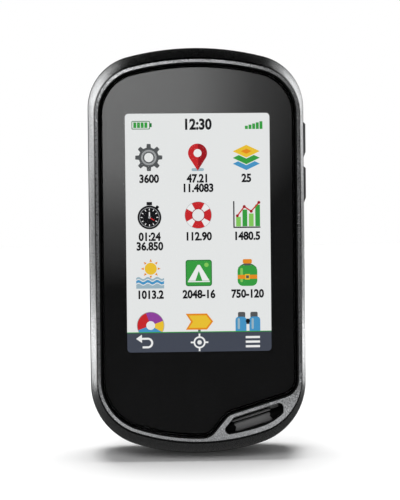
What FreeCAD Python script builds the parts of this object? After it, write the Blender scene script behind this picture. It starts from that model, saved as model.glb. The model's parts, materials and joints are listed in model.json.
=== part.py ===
"""Handheld satellite navigator: a parametric FreeCAD document, written as one STEP file per sub-part.

Frame: +X to the right seen from the front, +Y from the display to the back, +Z up along the unit.
The origin is the bottom centre of the box round the whole unit.  Depths are counted from the
front rim towards the back, so a depth of ZERO is the foremost plane.
"""
import FreeCAD
import Part
import math
import os

import Sketcher
from FreeCAD import Placement, Rotation, Vector

doc = FreeCAD.newDocument("navigator")
sheet = doc.addObject("Spreadsheet::Sheet", "Sizes")

DRIVING = [
    # casing outlines
    ("waist_width", 60.8, "widest outline, at the rear housing"),
    ("waist_crown_top", 76.0, "radius of the top edge"),
    ("waist_corner_top", 15.0, "radius of the top corners"),
    ("waist_crown_low", 60.0, "radius of the bottom edge"),
    ("waist_corner_low", 18.0, "radius of the bottom corners"),
    ("flare", 2.65, "rim inside the widest outline, each side"),
    ("front_top_drop", 5.0, "top of the rim below the top of the unit"),
    ("front_low_rise", 5.4, "bottom of the rim above the bottom of the unit"),
    ("front_crown_top", 75.0, "radius of the rim's top edge"),
    ("front_corner_top", 13.0, "radius of the rim's top corners"),
    ("front_crown_low", 56.0, "radius of the rim's bottom edge"),
    ("front_corner_low", 15.0, "radius of the rim's bottom corners"),
    # painted ring
    ("rim_width", 1.0, "flat front face of the ring"),
    ("rim_lip", 0.35, "height of the rim above the flared band"),
    ("rim_ledge", 0.2, "width of the ledge at the foot of the rim"),
    ("ring_depth", 13.0, "front rim to the seam"),
    ("ring_wall", 1.3, "wall of the ring at the seam"),
    ("ring_step", 0.2, "ring inside the rear housing's outline at the seam"),
    ("band_share", 0.58, "share of the flare reached at the middle of the band"),
    ("band_middle", 0.42, "place of that middle along the band's depth"),
    ("seam_gap", 0.3, "seam filled by the main gasket"),
    ("fit_gap", 0.08, "clearance between shells that nest"),
    # glass and display
    ("glass_sink", 0.2, "glass below the rim"),
    ("glass_gap", 0.12, "clearance round the glass"),
    ("glass_thick", 1.4, "cover glass"),
    ("glass_round", 1.0, "rolled edge of the glass"),
    ("touch_thick", 0.5, "touch sensor, and the adhesive frame beside it"),
    ("adhesive_inset", 0.35, "adhesive frame inside the edge of the glass"),
    ("touch_inset", 0.2, "touch sensor inside the edge of the panel"),
    ("panel_side_gap", 1.0, "panel clear of the middle screw bosses"),
    ("panel_low_gap", 1.5, "display bracket above the lower board posts"),
    ("panel_high_gap", 0.5, "display bracket below the upper board posts"),
    ("panel_thick", 1.4, "liquid crystal panel"),
    ("backlight_thick", 1.8, "backlight behind the panel"),
    ("bracket_wall", 0.3, "sheet steel of the display bracket"),
    ("bracket_gap", 0.1, "clearance of the panel in its bracket"),
    ("panel_gap", 0.9, "adhesive frame clear of the panel"),
    ("tail_width", 14.4, "flexible tail of the display"),
    ("tail_reach", 23.6, "flexible tail behind the bracket"),
    # front housing
    ("plate_thick", 1.7, "plate that carries the glass"),
    ("front_wall", 1.4, "skirt of the front housing"),
    ("boss_radius", 2.3, "screw bosses"),
    ("screw_radius", 1.0, "shank of a housing screw"),
    ("screw_head", 1.9, "head radius of a housing screw"),
    ("screw_head_thick", 1.2, "head of a housing screw"),
    ("screw_bite", 5.0, "screw past the seam into the front housing"),
    ("screw_tower", 8.2, "seat under the screw heads behind the seam"),
    ("screw_gap", 0.3, "clearance round a screw head"),
    ("top_screw_x", 16.0, "top pair of housing screws"),
    ("top_screw_drop", 11.7, "top pair below the top of the unit"),
    ("side_screw_inset", 5.4, "middle pair inside the widest outline"),
    ("side_screw_z", 57.0, "middle pair of housing screws"),
    ("low_screw_inset", 5.8, "bottom pair inside the widest outline"),
    ("low_screw_z", 19.4, "bottom pair of housing screws"),
    # strap slot at the lower right
    ("slot_rise", 17.0, "degrees, upper edge of the slot against the level"),
    ("slot_steep", 50.0, "degrees, left edge of the slot against the level"),
    ("slot_knee_x", 7.7, "corner of the glass above the slot"),
    ("slot_knee_z", 12.6, "corner of the glass above the slot"),
    ("slot_rim_top", 1.05, "ring between the glass and the slot"),
    ("slot_rim_left", 1.5, "ring left of the slot"),
    ("slot_rim_low", 1.25, "ring below the slot"),
    ("slot_right", 22.7, "right end of the slot"),
    ("knee_round", 4.0, "rounding of the glass at the slot's knee"),
    ("foot_round", 4.0, "rounding of the glass at the slot's foot"),
    ("side_round", 4.5, "rounding of the glass where it meets the side"),
    ("slot_round", 1.3, "rounding of the slot's corners"),
    ("lug_wall", 1.2, "wall of the housings round the strap tunnel"),
    ("bar_radius", 1.5, "strap bar in the tunnel"),
    ("bar_depth", 4.6, "depth of the strap bar's axis"),
    ("bar_drop", 3.2, "strap bar's axis below the slot's upper edge"),
    # rear housing
    ("back_round", 8.0, "rounding of the back edge"),
    ("rear_wall", 1.8, "wall of the rear housing"),
    ("gasket_edge", 0.9, "main gasket inside the outline"),
    ("gasket_width", 1.3, "main gasket"),
    # battery bay and batteries
    ("battery_radius", 7.2, "AA cell"),
    ("battery_length", 50.5, "AA cell with its nub"),
    ("nub_radius", 2.7, "positive nub of a cell"),
    ("nub_height", 1.3, "positive nub of a cell"),
    ("cell_bevel", 0.4, "bevel of a cell's ends"),
    ("battery_gap", 0.35, "clearance round the cells"),
    ("bay_floor_wall", 1.6, "wall between the latch recess and the battery bay"),
    ("spring_height", 2.3, "contact springs"),
    ("bay_wall", 1.2, "walls of the battery bay"),
    ("contact_thick", 0.4, "contact plates"),
    ("contact_width", 9.0, "contact plates"),
    ("spring_wire", 0.35, "wire radius of the contact springs"),
    ("spring_taper", 1.0, "contact springs narrower at their inner end"),
    ("spring_base", 3.4, "largest radius of the contact springs"),
    ("spring_turns", 2.0, "turns of a contact spring"),
    # battery cover
    ("cover_wall", 0.3, "wall between the cover and the screw recesses"),
    ("cover_head", 3.4, "cover above the battery bay"),
    ("cover_thick", 2.0, "battery cover"),
    ("cover_gap", 0.3, "clearance round the cover"),
    ("cover_crown", 200.0, "radius of the cover's top edge"),
    ("cover_corner", 6.0, "radius of the cover's top corners"),
    ("seal_edge", 1.5, "seal inside the cover's outline"),
    ("seal_width", 1.0, "cover seal"),
    ("seal_thick", 0.6, "cover seal"),
    ("seal_gap", 0.15, "clearance of the seal above its ledge"),
    ("spine_rise", 5.0, "spine above the lower end of the bay"),
    ("spine_stand", 2.7, "crest of the spine clear of the flat back"),
    ("spine_length", 44.0, "mounting spine"),
    ("spine_crest", 14.0, "width of the spine's crest"),
    ("spine_neck", 9.4, "width of the spine's neck"),
    ("spine_lip", 1.8, "thickness of the spine's crest"),
    ("spine_round", 3.0, "corner radius of the spine's crest"),
    # latch and D-ring
    ("latch_height", 19.6, "height of the latch axis"),
    ("latch_recess", 6.7, "radius of the recess round the latch"),
    ("latch_sink", 2.5, "depth of that recess"),
    ("latch_floor", 1.4, "floor of that recess"),
    ("latch_rim", 0.8, "wall round the recess under the cover"),
    ("latch_disc", 4.2, "radius of the latch disc"),
    ("latch_disc_thick", 0.6, "latch disc"),
    ("latch_gap", 0.1, "running clearance of the latch"),
    ("latch_bead", 0.36, "wire radius of the latch seal"),
    ("latch_shaft", 2.0, "radius of the latch shaft"),
    ("latch_reach", 4.0, "room for the cross bar below the recess floor"),
    ("latch_end", 0.35, "latch shaft past the cross bar"),
    ("latch_bar", 7.4, "length of the cross bar on the shaft"),
    ("latch_bar_thick", 1.3, "cross bar"),
    ("latch_bar_width", 2.6, "cross bar"),
    ("ring_wire", 0.7, "wire radius of the D-ring"),
    ("ring_radius", 5.3, "bend radius of the D-ring"),
    ("lug_length", 3.6, "lug that carries the D-ring"),
    ("lug_height", 2.8, "lug that carries the D-ring"),
    ("lug_round", 0.6, "rounding of that lug"),
    ("pin_gap", 0.1, "clearance of the D-ring in its lug"),
    # boards
    ("chip_clear", 0.5, "chips behind the display bracket"),
    ("board_thick", 1.0, "main board"),
    ("board_gap", 0.4, "main board clear of the middle screw bosses"),
    ("board_low", 20.6, "bottom edge of the main board"),
    ("board_top_gap", 0.3, "main board below the top screw bosses"),
    ("board_corner", 6.0, "corner radius of the main board"),
    ("post_radius", 1.5, "posts under the boards"),
    ("post_x", 14.0, "board screws from the centre"),
    ("post_low", 22.3, "lower board screws"),
    ("post_margin", 1.3, "upper board screws below the board's top edge"),
    ("board_screw", 0.7, "shank radius of a board screw"),
    ("board_screw_head", 1.4, "head radius of a board screw"),
    ("board_screw_thick", 0.85, "head of a board screw"),
    ("board_screw_length", 3.4, "shank of a board screw"),
    ("can_height", 1.7, "shield cans"),
    ("bay_clear", 0.5, "battery bay behind the shield cans"),
    ("radio_can_x", -11.5, "shield can over the radio"),
    ("radio_gap", 4.6, "shield can over the radio below the antenna"),
    ("radio_can_width", 18.0, "shield can over the radio"),
    ("radio_can_length", 20.0, "shield can over the radio"),
    ("power_can_x", 7.0, "shield can over the power supply"),
    ("power_can_z", 45.0, "shield can over the power supply"),
    ("power_can_width", 22.0, "shield can over the power supply"),
    ("power_can_length", 18.0, "shield can over the power supply"),
    ("chip_height", 0.9, "chips"),
    ("processor_x", -9.0, "processor"),
    ("processor_z", 80.0, "processor"),
    ("processor_side", 12.0, "processor"),
    ("memory_x", 9.0, "memory chip"),
    ("memory_z", 83.0, "memory chip"),
    ("memory_side", 9.0, "memory chip"),
    ("driver_x", 8.0, "display driver chip"),
    ("driver_z", 62.0, "display driver chip"),
    ("driver_side", 8.4, "display driver chip"),
    ("compass_x", -8.0, "compass chip"),
    ("compass_z", 56.0, "compass chip"),
    ("compass_side", 6.0, "compass chip"),
    ("antenna_side", 14.0, "ceramic patch antenna"),
    ("antenna_thick", 4.0, "ceramic patch antenna"),
    ("antenna_drop", 22.7, "antenna's centre below the top of the unit"),
    ("buzzer_x", -13.0, "piezo buzzer from the centre"),
    ("buzzer_z", 44.0, "height of the buzzer's centre"),
    ("buzzer_radius", 6.0, "piezo buzzer"),
    ("buzzer_hole", 1.0, "radius of the sound hole"),
    ("buzzer_thick", 1.6, "piezo buzzer"),
    ("socket_width", 14.0, "card socket"),
    ("socket_length", 15.6, "card socket"),
    ("socket_height", 1.6, "card socket"),
    ("socket_x", 8.0, "card socket from the centre"),
    ("socket_gap", 5.3, "card socket below the antenna"),
    ("card_width", 11.0, "memory card"),
    ("card_length", 14.6, "memory card"),
    ("card_thick", 0.7, "memory card"),
    # upper board with camera, flash and data port
    ("upper_room", 10.5, "room behind the upper board"),
    ("upper_width", 38.0, "upper board"),
    ("upper_height", 11.0, "upper board"),
    ("upper_gap", 0.35, "clearance round the upper board"),
    ("upper_flex_x", -12.8, "flexible strip between the boards, from the centre"),
    ("upper_post", 1.2, "radius of the posts behind the upper board"),
    ("top_rise", 20.6, "top of the unit above the line of camera, flash and port"),
    ("camera_wall", 1.9, "wall between camera and flash"),
    ("camera_side", 8.4, "camera module"),
    ("barrel_radius", 3.0, "lens barrel of the camera"),
    ("barrel_length", 2.7, "lens barrel of the camera"),
    ("lens_ball", 3.4, "radius of curvature of the dished lens"),
    ("lens_dish", 0.5, "depth of the dished lens"),
    ("camera_radius", 4.2, "camera window"),
    ("camera_ring", 1.0, "width of the trim ring round the window"),
    ("window_thick", 0.8, "camera window"),
    ("window_sink", 0.3, "window below its trim ring"),
    ("flash_wall", 0.5, "wall between flash and vent"),
    ("flash_radius", 2.3, "flash lens"),
    ("flash_thick", 1.6, "flash lens"),
    ("led_side", 3.2, "base of the flash lamp"),
    ("led_radius", 1.4, "dome of the flash lamp"),
    ("led_height", 0.7, "dome of the flash lamp"),
    ("led_gap", 0.2, "flash lamp below its lens"),
    ("vent_wall", 0.2, "wall between vent and data port"),
    ("vent_hole", 0.35, "radius of the vent holes"),
    ("vent_pitch", 1.1, "spacing of the vent holes"),
    ("membrane_radius", 1.7, "vent membrane"),
    ("membrane_thick", 0.3, "vent membrane"),
    ("port_x", 12.0, "data port from the centre"),
    ("port_width", 8.6, "passage of the data port"),
    ("port_height", 4.4, "passage of the data port"),
    ("port_length", 6.4, "data port receptacle"),
    ("port_gap", 0.35, "clearance of the receptacle in its passage"),
    ("port_wall", 0.35, "sheet steel of the receptacle"),
    ("tongue_thick", 0.7, "contact tongue of the receptacle"),
    ("tongue_margin", 1.1, "tongue from the receptacle's sides"),
    ("tongue_sink", 1.0, "tongue below the receptacle's mouth"),
    ("cap_width", 12.6, "weather cap"),
    ("cap_height", 8.4, "weather cap"),
    ("cap_thick", 1.3, "weather cap"),
    ("cap_gap", 0.25, "clearance round the cap"),
    ("cap_rise", 3.5, "weather cap above the battery cover"),
    ("cap_seat_gap", 0.1, "clearance under the cap"),
    ("cap_roll", 0.62, "rounding of the cap's hinge edge"),
    ("cap_corner", 1.6, "rounding of the cap's upper corners"),
    ("cap_plug_width", 6.6, "plug on the cap"),
    ("cap_plug_height", 2.2, "plug on the cap"),
    ("cap_plug_length", 1.7, "plug on the cap"),
    # side keys
    ("key_setback", 0.3, "key flanges behind the seam"),
    ("key_width", 4.6, "keys, front to back"),
    ("power_drop", 26.3, "power key's centre below the top of the unit"),
    ("power_length", 10.6, "power key"),
    ("key_spacing", 1.9, "housing between the keys"),
    ("user_length", 11.0, "user key"),
    ("key_proud", 0.75, "keys proud of the housing"),
    ("key_gap", 0.15, "clearance round the keys"),
    ("key_flange", 0.7, "flange of a key, all round"),
    ("key_flange_thick", 0.9, "flange of a key"),
    ("key_slope", 2.2, "slanted lower end of a key"),
    ("key_bevel", 0.5, "bevel of a key's upper end"),
    ("key_side_bevel", 0.4, "bevel of a key's long edges"),
    ("key_travel", 0.35, "travel of a key"),
    ("switch_side", 3.6, "tactile switch"),
    ("switch_height", 1.2, "tactile switch"),
    ("switch_tip", 0.9, "radius of a switch plunger"),
    ("switch_tip_length", 0.5, "switch plunger"),
    ("switch_gap", 0.05, "gap at a fully pressed key"),
    ("key_board_width", 5.8, "key board, front to back"),
    ("key_board_thick", 0.8, "key board"),
    ("board_below_keys", 1.4, "key board past the user key"),
    ("board_above_keys", 1.7, "key board past the power key"),
    ("rib_thick", 1.0, "ribs that hold the key board"),
    ("flex_thick", 0.2, "flexible circuits"),
    ("flex_width", 7.2, "flexible tail of the key board"),
    ("flex_lap", 1.2, "flexible tail on the main board"),
]


class Size:
    """A length that remembers the sheet formula it was worked out with."""

    def __init__(self, value, text):
        self.value = float(value)
        self.text = text

    def _join(self, other, sign, result, swap=False):
        text = other.text if isinstance(other, Size) else repr(float(other))
        pair = (text, self.text) if swap else (self.text, text)
        return Size(result, "(%s %s %s)" % (pair[0], sign, pair[1]))

    def __add__(self, other):
        return self._join(other, "+", self.value + number(other))

    def __radd__(self, other):
        return self._join(other, "+", number(other) + self.value, True)

    def __sub__(self, other):
        return self._join(other, "-", self.value - number(other))

    def __rsub__(self, other):
        return self._join(other, "-", number(other) - self.value, True)

    def __mul__(self, other):
        return self._join(other, "*", self.value * number(other))

    def __rmul__(self, other):
        return self._join(other, "*", number(other) * self.value, True)

    def __truediv__(self, other):
        return self._join(other, "/", self.value / number(other))

    def __neg__(self):
        return Size(-self.value, "(-1 * %s)" % self.text)


def number(size):
    return size.value if isinstance(size, Size) else float(size)


def fill_sheet():
    """Write the driving dimensions to the sheet, and hand them back by name."""
    names = {}
    for row, (name, value, note) in enumerate(DRIVING, 1):
        sheet.set("A%d" % row, name)
        sheet.set("B%d" % row, repr(value))
        sheet.setAlias("B%d" % row, name)
        sheet.set("C%d" % row, note)
    doc.recompute()
    for name, _, _ in DRIVING:
        names[name] = Size(sheet.get(name), "Sizes." + name)
    return names


S = fill_sheet()
ZERO = Size(0, "0")


# ---------------------------------------------------------------- places worked out from the sizes

# up the unit
BAY_LOW = (S["latch_height"] + S["latch_recess"] + S["latch_rim"] + S["cover_gap"]
           + S["bay_floor_wall"])
BAY_LENGTH = S["battery_length"] + S["contact_thick"] * 2 + S["spring_height"]
COVER_TOP = BAY_LOW + BAY_LENGTH + S["cover_head"]
PORT_LINE = COVER_TOP + S["cap_rise"] + S["cap_height"] / 2
TOP = PORT_LINE + S["top_rise"]
TOP_SCREW_Z = TOP - S["top_screw_drop"]
BOARD_HIGH = TOP_SCREW_Z - S["boss_radius"] - S["board_top_gap"]
POST_HIGH = BOARD_HIGH - S["post_margin"]
BRACKET_MARGIN = S["bracket_wall"] + S["bracket_gap"]
PANEL_LOW = S["post_low"] + S["post_radius"] + S["panel_low_gap"] + BRACKET_MARGIN
PANEL_HIGH = POST_HIGH - S["post_radius"] - S["panel_high_gap"] - BRACKET_MARGIN
ANTENNA_Z = TOP - S["antenna_drop"]
ANTENNA_LOW = ANTENNA_Z - S["antenna_side"] / 2
RADIO_CAN_Z = ANTENNA_LOW - S["radio_gap"] - S["radio_can_length"] / 2
SOCKET_Z = ANTENNA_LOW - S["socket_gap"] - S["socket_length"] / 2
POWER_Z = TOP - S["power_drop"]
USER_Z = POWER_Z - S["power_length"] / 2 - S["key_spacing"] - S["user_length"] / 2
KEY_BOARD_HIGH = POWER_Z + S["power_length"] / 2 + S["board_above_keys"]
KEY_BOARD_LOW = USER_Z - S["user_length"] / 2 - S["board_below_keys"]

# depths behind the front rim
GLASS_BACK = S["glass_sink"] + S["glass_thick"]
PLATE_FRONT = GLASS_BACK + S["touch_thick"]
PLATE_BACK = PLATE_FRONT + S["plate_thick"]
PANEL_BACK = PLATE_FRONT + S["panel_thick"]
LIGHT_BACK = PANEL_BACK + S["backlight_thick"]
BRACKET_BACK = LIGHT_BACK + S["bracket_wall"]
BOARD_FRONT = BRACKET_BACK + S["chip_clear"] + S["chip_height"]
BOARD_BACK = BOARD_FRONT + S["board_thick"]
SHELL_FRONT = S["ring_depth"] + S["seam_gap"]
BAY_FRONT = BOARD_BACK + S["can_height"] + S["bay_clear"]
BAY_FLOOR = BAY_FRONT + S["bay_wall"]
CELL_DEPTH = BAY_FLOOR + S["battery_gap"] + S["battery_radius"]
COVER_FRONT = CELL_DEPTH + S["battery_radius"] + S["battery_gap"]
BACK = COVER_FRONT + S["cover_thick"]
OVERALL = BACK + S["spine_stand"] + S["spine_lip"]
LEDGE = COVER_FRONT - S["seal_thick"] - S["seal_gap"]
CAVITY_BACK = LEDGE - S["rear_wall"]
WALL_INSIDE = BACK - S["rear_wall"]
LATCH_FLOOR = BACK - S["latch_sink"]
LATCH_UNDER = LATCH_FLOOR - S["latch_floor"]
DISC_FRONT = LATCH_FLOOR + S["latch_gap"]
DISC_BACK = DISC_FRONT + S["latch_disc_thick"]
RING_AXIS = DISC_BACK + S["pin_gap"] + S["ring_wire"]
CAP_FLOOR = BACK - S["cap_thick"] - S["cap_seat_gap"]
UPPER_BACK = BACK - S["upper_room"]
UPPER_FRONT = UPPER_BACK - S["board_thick"]
SCREW_SEAT = SHELL_FRONT + S["screw_tower"]
KEY_DEPTH = SHELL_FRONT + S["key_setback"] + S["key_flange"] + S["key_width"] / 2

# across the unit
WAIST_HALF = S["waist_width"] / 2
SIDE_SCREW_X = WAIST_HALF - S["side_screw_inset"]
LOW_SCREW_X = WAIST_HALF - S["low_screw_inset"]
BOSS_EDGE = SIDE_SCREW_X - S["boss_radius"]
PANEL_WIDTH = (BOSS_EDGE - S["panel_side_gap"]) * 2
PANEL_HEIGHT = PANEL_HIGH - PANEL_LOW
PANEL_MIDDLE = (ZERO, (PANEL_LOW + PANEL_HIGH) / 2)
BOARD_WIDTH = (BOSS_EDGE - S["board_gap"]) * 2
COVER_INSET = (S["low_screw_inset"] + S["screw_head"] + S["screw_gap"] + S["cover_gap"]
               + S["cover_wall"])
VENT_X = (S["port_x"] - (S["cap_width"] + S["rear_wall"]) / 2 - S["vent_wall"]
          - S["membrane_radius"])
FLASH_X = VENT_X - S["membrane_radius"] - S["flash_wall"] - S["flash_radius"]
CAMERA_X = (FLASH_X - S["flash_radius"] - S["camera_wall"] - S["camera_radius"]
            - S["camera_ring"])
BAY_HALF = S["battery_radius"] * 2 + S["battery_gap"] * 1.5
BAY_CENTRE = (ZERO, BAY_LOW + BAY_LENGTH / 2)
UPPER_MIDDLE = (ZERO, PORT_LINE)
KEY_INNER = WAIST_HALF - S["rear_wall"] - S["key_gap"]
TIP_END = KEY_INNER - S["key_flange_thick"] - S["key_travel"] - S["switch_gap"]
SWITCH_TOP = TIP_END - S["switch_tip_length"]
KEY_BOARD = SWITCH_TOP - S["switch_height"]
NESTED = S["rim_width"] + S["fit_gap"]
NESTED_SEAM = S["ring_wall"] + S["fit_gap"]

# what repeats
SCREWS = [(side * x, z) for x, z in ((S["top_screw_x"], TOP_SCREW_Z),
                                     (SIDE_SCREW_X, S["side_screw_z"]),
                                     (LOW_SCREW_X, S["low_screw_z"])) for side in (1, -1)]
POSTS = [(side * S["post_x"], z) for z in (S["post_low"], POST_HIGH) for side in (1, -1)]
UPPER_POSTS = [(side * (S["upper_width"] / 2 - S["upper_post"] * 1.5),
                PORT_LINE + level * (S["upper_height"] / 2 - S["upper_post"] * 1.25))
               for side in (1, -1) for level in (1, -1)]
KEYS = [("power", POWER_Z, S["power_length"]), ("user", USER_Z, S["user_length"])]


def bind(obj, **rules):
    """Tie properties to sheet formulas; a double underscore stands for a dot."""
    for name, size in rules.items():
        path = name.replace("__", ".")
        if isinstance(size, Size):
            obj.setExpression(path, size.text)
        elif "." not in path:
            setattr(obj, path, size)
        else:
            obj.setExpression(path, repr(float(size)))


def place(obj, x=0, y=0, z=0, turn=None):
    """Put an object at sheet-driven coordinates."""
    obj.Placement = Placement(Vector(number(x), number(y), number(z)), turn or Rotation())
    bind(obj, Placement__Base__x=x, Placement__Base__y=y, Placement__Base__z=z)


def at_depth(depth):
    """The Y coordinate of a depth behind the front rim."""
    return depth - OVERALL / 2


# ---------------------------------------------------------------- outlines

class Outline:
    """A casing outline: crowned top and bottom, straight sides, round corners."""

    def __init__(self, half, top, low, crown_top, corner_top, crown_low, corner_low):
        self.half, self.top, self.low = half, top, low
        self.crown_top, self.corner_top = crown_top, corner_top
        self.crown_low, self.corner_low = crown_low, corner_low

    def inset(self, gap):
        return Outline(self.half - gap, self.top - gap, self.low + gap,
                       self.crown_top - gap, self.corner_top - gap,
                       self.crown_low - gap, self.corner_low - gap)

    def towards(self, other, share):
        mine, theirs = vars(self), vars(other)
        return Outline(**{key: mine[key] + (theirs[key] - mine[key]) * share for key in mine})


WAIST = Outline(WAIST_HALF, TOP, ZERO,
                S["waist_crown_top"], S["waist_corner_top"],
                S["waist_crown_low"], S["waist_corner_low"])
FRONT = Outline(WAIST_HALF - S["flare"], TOP - S["front_top_drop"], S["front_low_rise"],
                S["front_crown_top"], S["front_corner_top"],
                S["front_crown_low"], S["front_corner_low"])
SEAM = WAIST.inset(S["ring_step"])
COVER = Outline(WAIST_HALF - COVER_INSET, COVER_TOP, COVER_INSET,
                S["cover_crown"], S["cover_corner"],
                S["waist_crown_low"] - COVER_INSET, S["waist_corner_low"] - COVER_INSET)


TINY = 1e-9


def rule(sketch, kind, *args):
    """Add a constraint; a Size as its last argument is bound to the sheet."""
    size = args[-1] if isinstance(args[-1], Size) else None
    if size is not None:
        args = args[:-1] + (size.value,)
    index = sketch.addConstraint(Sketcher.Constraint(kind, *args))
    if size is not None:
        sketch.setExpression("Constraints[%d]" % index, size.text)


def draw_outline(sketch, line):
    """Six tangent arcs and two sides, walked anticlockwise from the right side."""
    half, axis_x = line.half.value, Vector(0, 0, 1)

    def ends(crown, corner):
        reach = math.asin((half - corner) / (crown - corner))
        drop = crown - (crown - corner) * math.cos(reach)
        return reach, drop

    turn_top, drop_top = ends(line.crown_top.value, line.corner_top.value)
    turn_low, drop_low = ends(line.crown_low.value, line.corner_low.value)
    high, low = line.top.value - drop_top, line.low.value + drop_low
    inner_top, inner_low = half - line.corner_top.value, half - line.corner_low.value
    quarter = math.pi / 2

    def arc(x, z, radius, start, end):
        return Part.ArcOfCircle(Part.Circle(Vector(x, z, 0), axis_x, radius), start, end)

    sketch.addGeometry([
        Part.LineSegment(Vector(half, low, 0), Vector(half, high, 0)),
        arc(inner_top, high, line.corner_top.value, 0, quarter - turn_top),
        arc(0, line.top.value - line.crown_top.value, line.crown_top.value,
            quarter - turn_top, quarter + turn_top),
        arc(-inner_top, high, line.corner_top.value, quarter + turn_top, 2 * quarter),
        Part.LineSegment(Vector(-half, high, 0), Vector(-half, low, 0)),
        arc(-inner_low, low, line.corner_low.value, 2 * quarter, 3 * quarter - turn_low),
        arc(0, line.low.value + line.crown_low.value, line.crown_low.value,
            3 * quarter - turn_low, 3 * quarter + turn_low),
        arc(inner_low, low, line.corner_low.value, 3 * quarter + turn_low, 4 * quarter),
    ], False)
    for index in range(8):
        rule(sketch, "Tangent", index, 2, (index + 1) % 8, 1)
    for side in (0, 4):
        rule(sketch, "Vertical", side)
    rule(sketch, "Equal", 1, 3)
    rule(sketch, "Equal", 5, 7)
    for crown in (2, 6):
        rule(sketch, "PointOnObject", crown, 3, -2)
    for index, radius in ((1, line.corner_top), (2, line.crown_top),
                          (5, line.corner_low), (6, line.crown_low)):
        rule(sketch, "Radius", index, radius)
    rule(sketch, "DistanceX", -1, 1, 0, 1, line.half)
    rule(sketch, "DistanceX", 4, 1, -1, 1, line.half)
    rule(sketch, "DistanceY", -1, 1, 2, 3, line.top - line.crown_top)
    rule(sketch, "DistanceY", -1, 1, 6, 3, line.low + line.crown_low)


def pin_point(sketch, index, point):
    """Hold a sketch point at a sheet-driven place."""
    for kind, size, own_axis in (("DistanceX", point[0], -2), ("DistanceY", point[1], -1)):
        if abs(number(size)) < TINY:
            rule(sketch, "PointOnObject", index[0], index[1], own_axis)
        elif isinstance(size, Size):
            rule(sketch, kind, -1, 1, index[0], index[1], size)
        else:
            sketch.addConstraint(Sketcher.Constraint(kind, -1, 1, index[0], index[1], size))


def draw_polygon(sketch, points):
    first = sketch.GeometryCount
    flat = [Vector(number(x), number(z), 0) for x, z in points]
    for start, end in zip(flat, flat[1:] + flat[:1]):
        sketch.addGeometry(Part.LineSegment(start, end), False)
    count = len(points)
    for step in range(count):
        rule(sketch, "Coincident", first + step, 2, first + (step + 1) % count, 1)
    for step, point in enumerate(points):
        pin_point(sketch, (first + step, 1), point)


def draw_box(sketch, centre, width, height):
    x, z = centre
    draw_polygon(sketch, [(x - width / 2, z - height / 2), (x + width / 2, z - height / 2),
                          (x + width / 2, z + height / 2), (x - width / 2, z + height / 2)])


def draw_circle(sketch, centre, radius):
    index = sketch.addGeometry(
        Part.Circle(Vector(number(centre[0]), number(centre[1]), 0), Vector(0, 0, 1),
                    number(radius)), False)
    rule(sketch, "Radius", index, radius)
    pin_point(sketch, (index, 3), centre)


# ---------------------------------------------------------------- bodies

PLANES = {"front": "XZ_Plane", "side": "YZ_Plane", "level": "XY_Plane"}


def new_body(label):
    return doc.addObject("PartDesign::Body", label)


def sketch_in(body, name, plane, offset, draw, *shape):
    """A sketch in a body, parallel to one of its planes at a sheet-driven offset."""
    sketch = body.newObject("Sketcher::SketchObject", name)
    for feature in body.Origin.OriginFeatures:
        if feature.Role == PLANES[plane]:
            sketch.AttachmentSupport = (feature, [""])
    sketch.MapMode = "FlatFace"
    sketch.AttachmentOffset = Placement(Vector(0, 0, number(offset)), Rotation())
    bind(sketch, AttachmentOffset__Base__z=offset)
    draw(sketch, *shape)
    return sketch


def front_sketch(body, name, depth, draw, *shape):
    """A sketch seen from the front; its plane's normal points to the front."""
    return sketch_in(body, name, "front", -at_depth(depth), draw, *shape)


def pad(body, name, front, back, draw, *shape):
    """Add material between two depths."""
    feature = body.newObject("PartDesign::Pad", name)
    feature.Profile = front_sketch(body, name + "_sketch", back, draw, *shape)
    bind(feature, Length=back - front)
    return feature


def pocket(body, name, front, back, draw, *shape):
    """Take material away between two depths."""
    feature = body.newObject("PartDesign::Pocket", name)
    feature.Profile = front_sketch(body, name + "_sketch", front, draw, *shape)
    bind(feature, Length=back - front)
    return feature


NEAR = 0.6
EXACT = 1e-3


def edge_names(shape, test):
    return ["Edge%d" % (index + 1) for index, edge in enumerate(shape.Edges) if test(edge)]


def flat_at(y):
    """A test for edges that lie in one plane across the depth."""
    plane = number(y)
    return lambda edge: abs(edge.BoundBox.YMin - plane) + abs(edge.BoundBox.YMax - plane) < EXACT


def upright(edge):
    """Whether an edge runs straight along the depth."""
    return edge.BoundBox.XLength < EXACT and edge.BoundBox.ZLength < EXACT


def runs_back(*places):
    """A test for edges along the depth, near any of the given places if there are some."""
    def test(edge):
        box = edge.BoundBox
        return upright(edge) and (not places or any(
            math.hypot(box.XMin - number(x), box.ZMin - number(z)) < NEAR for x, z in places))
    return test


def dress(body, kind, name, base, size, test):
    """Fillet or chamfer the edges of a feature that pass a test."""
    doc.recompute()
    feature = body.newObject("PartDesign::" + kind, name)
    feature.Base = (base, edge_names(base.Shape, test))
    bind(feature, **{"Radius" if kind == "Fillet" else "Size": size})
    return feature


def block(name, low, span):
    """A plain box from its low corner, both sheet-driven."""
    box = doc.addObject("Part::Box", name)
    bind(box, Length=span[0], Width=span[1], Height=span[2])
    place(box, *low)
    return box


ALONG_X = Rotation(Vector(0, 1, 0), 90)
ALONG_Y = Rotation(Vector(1, 0, 0), -90)
HALF_TURN = Rotation(Vector(1, 0, 0), 180)
FACING_FRONT = Rotation(Vector(1, 0, 0), 90)


def rod(name, foot, direction, radius, length):
    """A cylinder from its foot along a direction."""
    cylinder = doc.addObject("Part::Cylinder", name)
    bind(cylinder, Radius=radius, Height=length)
    place(cylinder, *foot, turn=direction)
    return cylinder


def prism(name, front, back, draw, *shape):
    """A solid between two depths from a free sketch."""
    sketch = doc.addObject("Sketcher::SketchObject", name + "_sketch")
    draw(sketch, *shape)
    place(sketch, y=at_depth(front), turn=FACING_FRONT)
    solid = doc.addObject("Part::Extrusion", name)
    solid.Base = sketch
    solid.DirMode = "Custom"
    solid.Dir = Vector(0, 1, 0)
    solid.Solid = True
    bind(solid, LengthFwd=back - front)
    return solid


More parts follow.
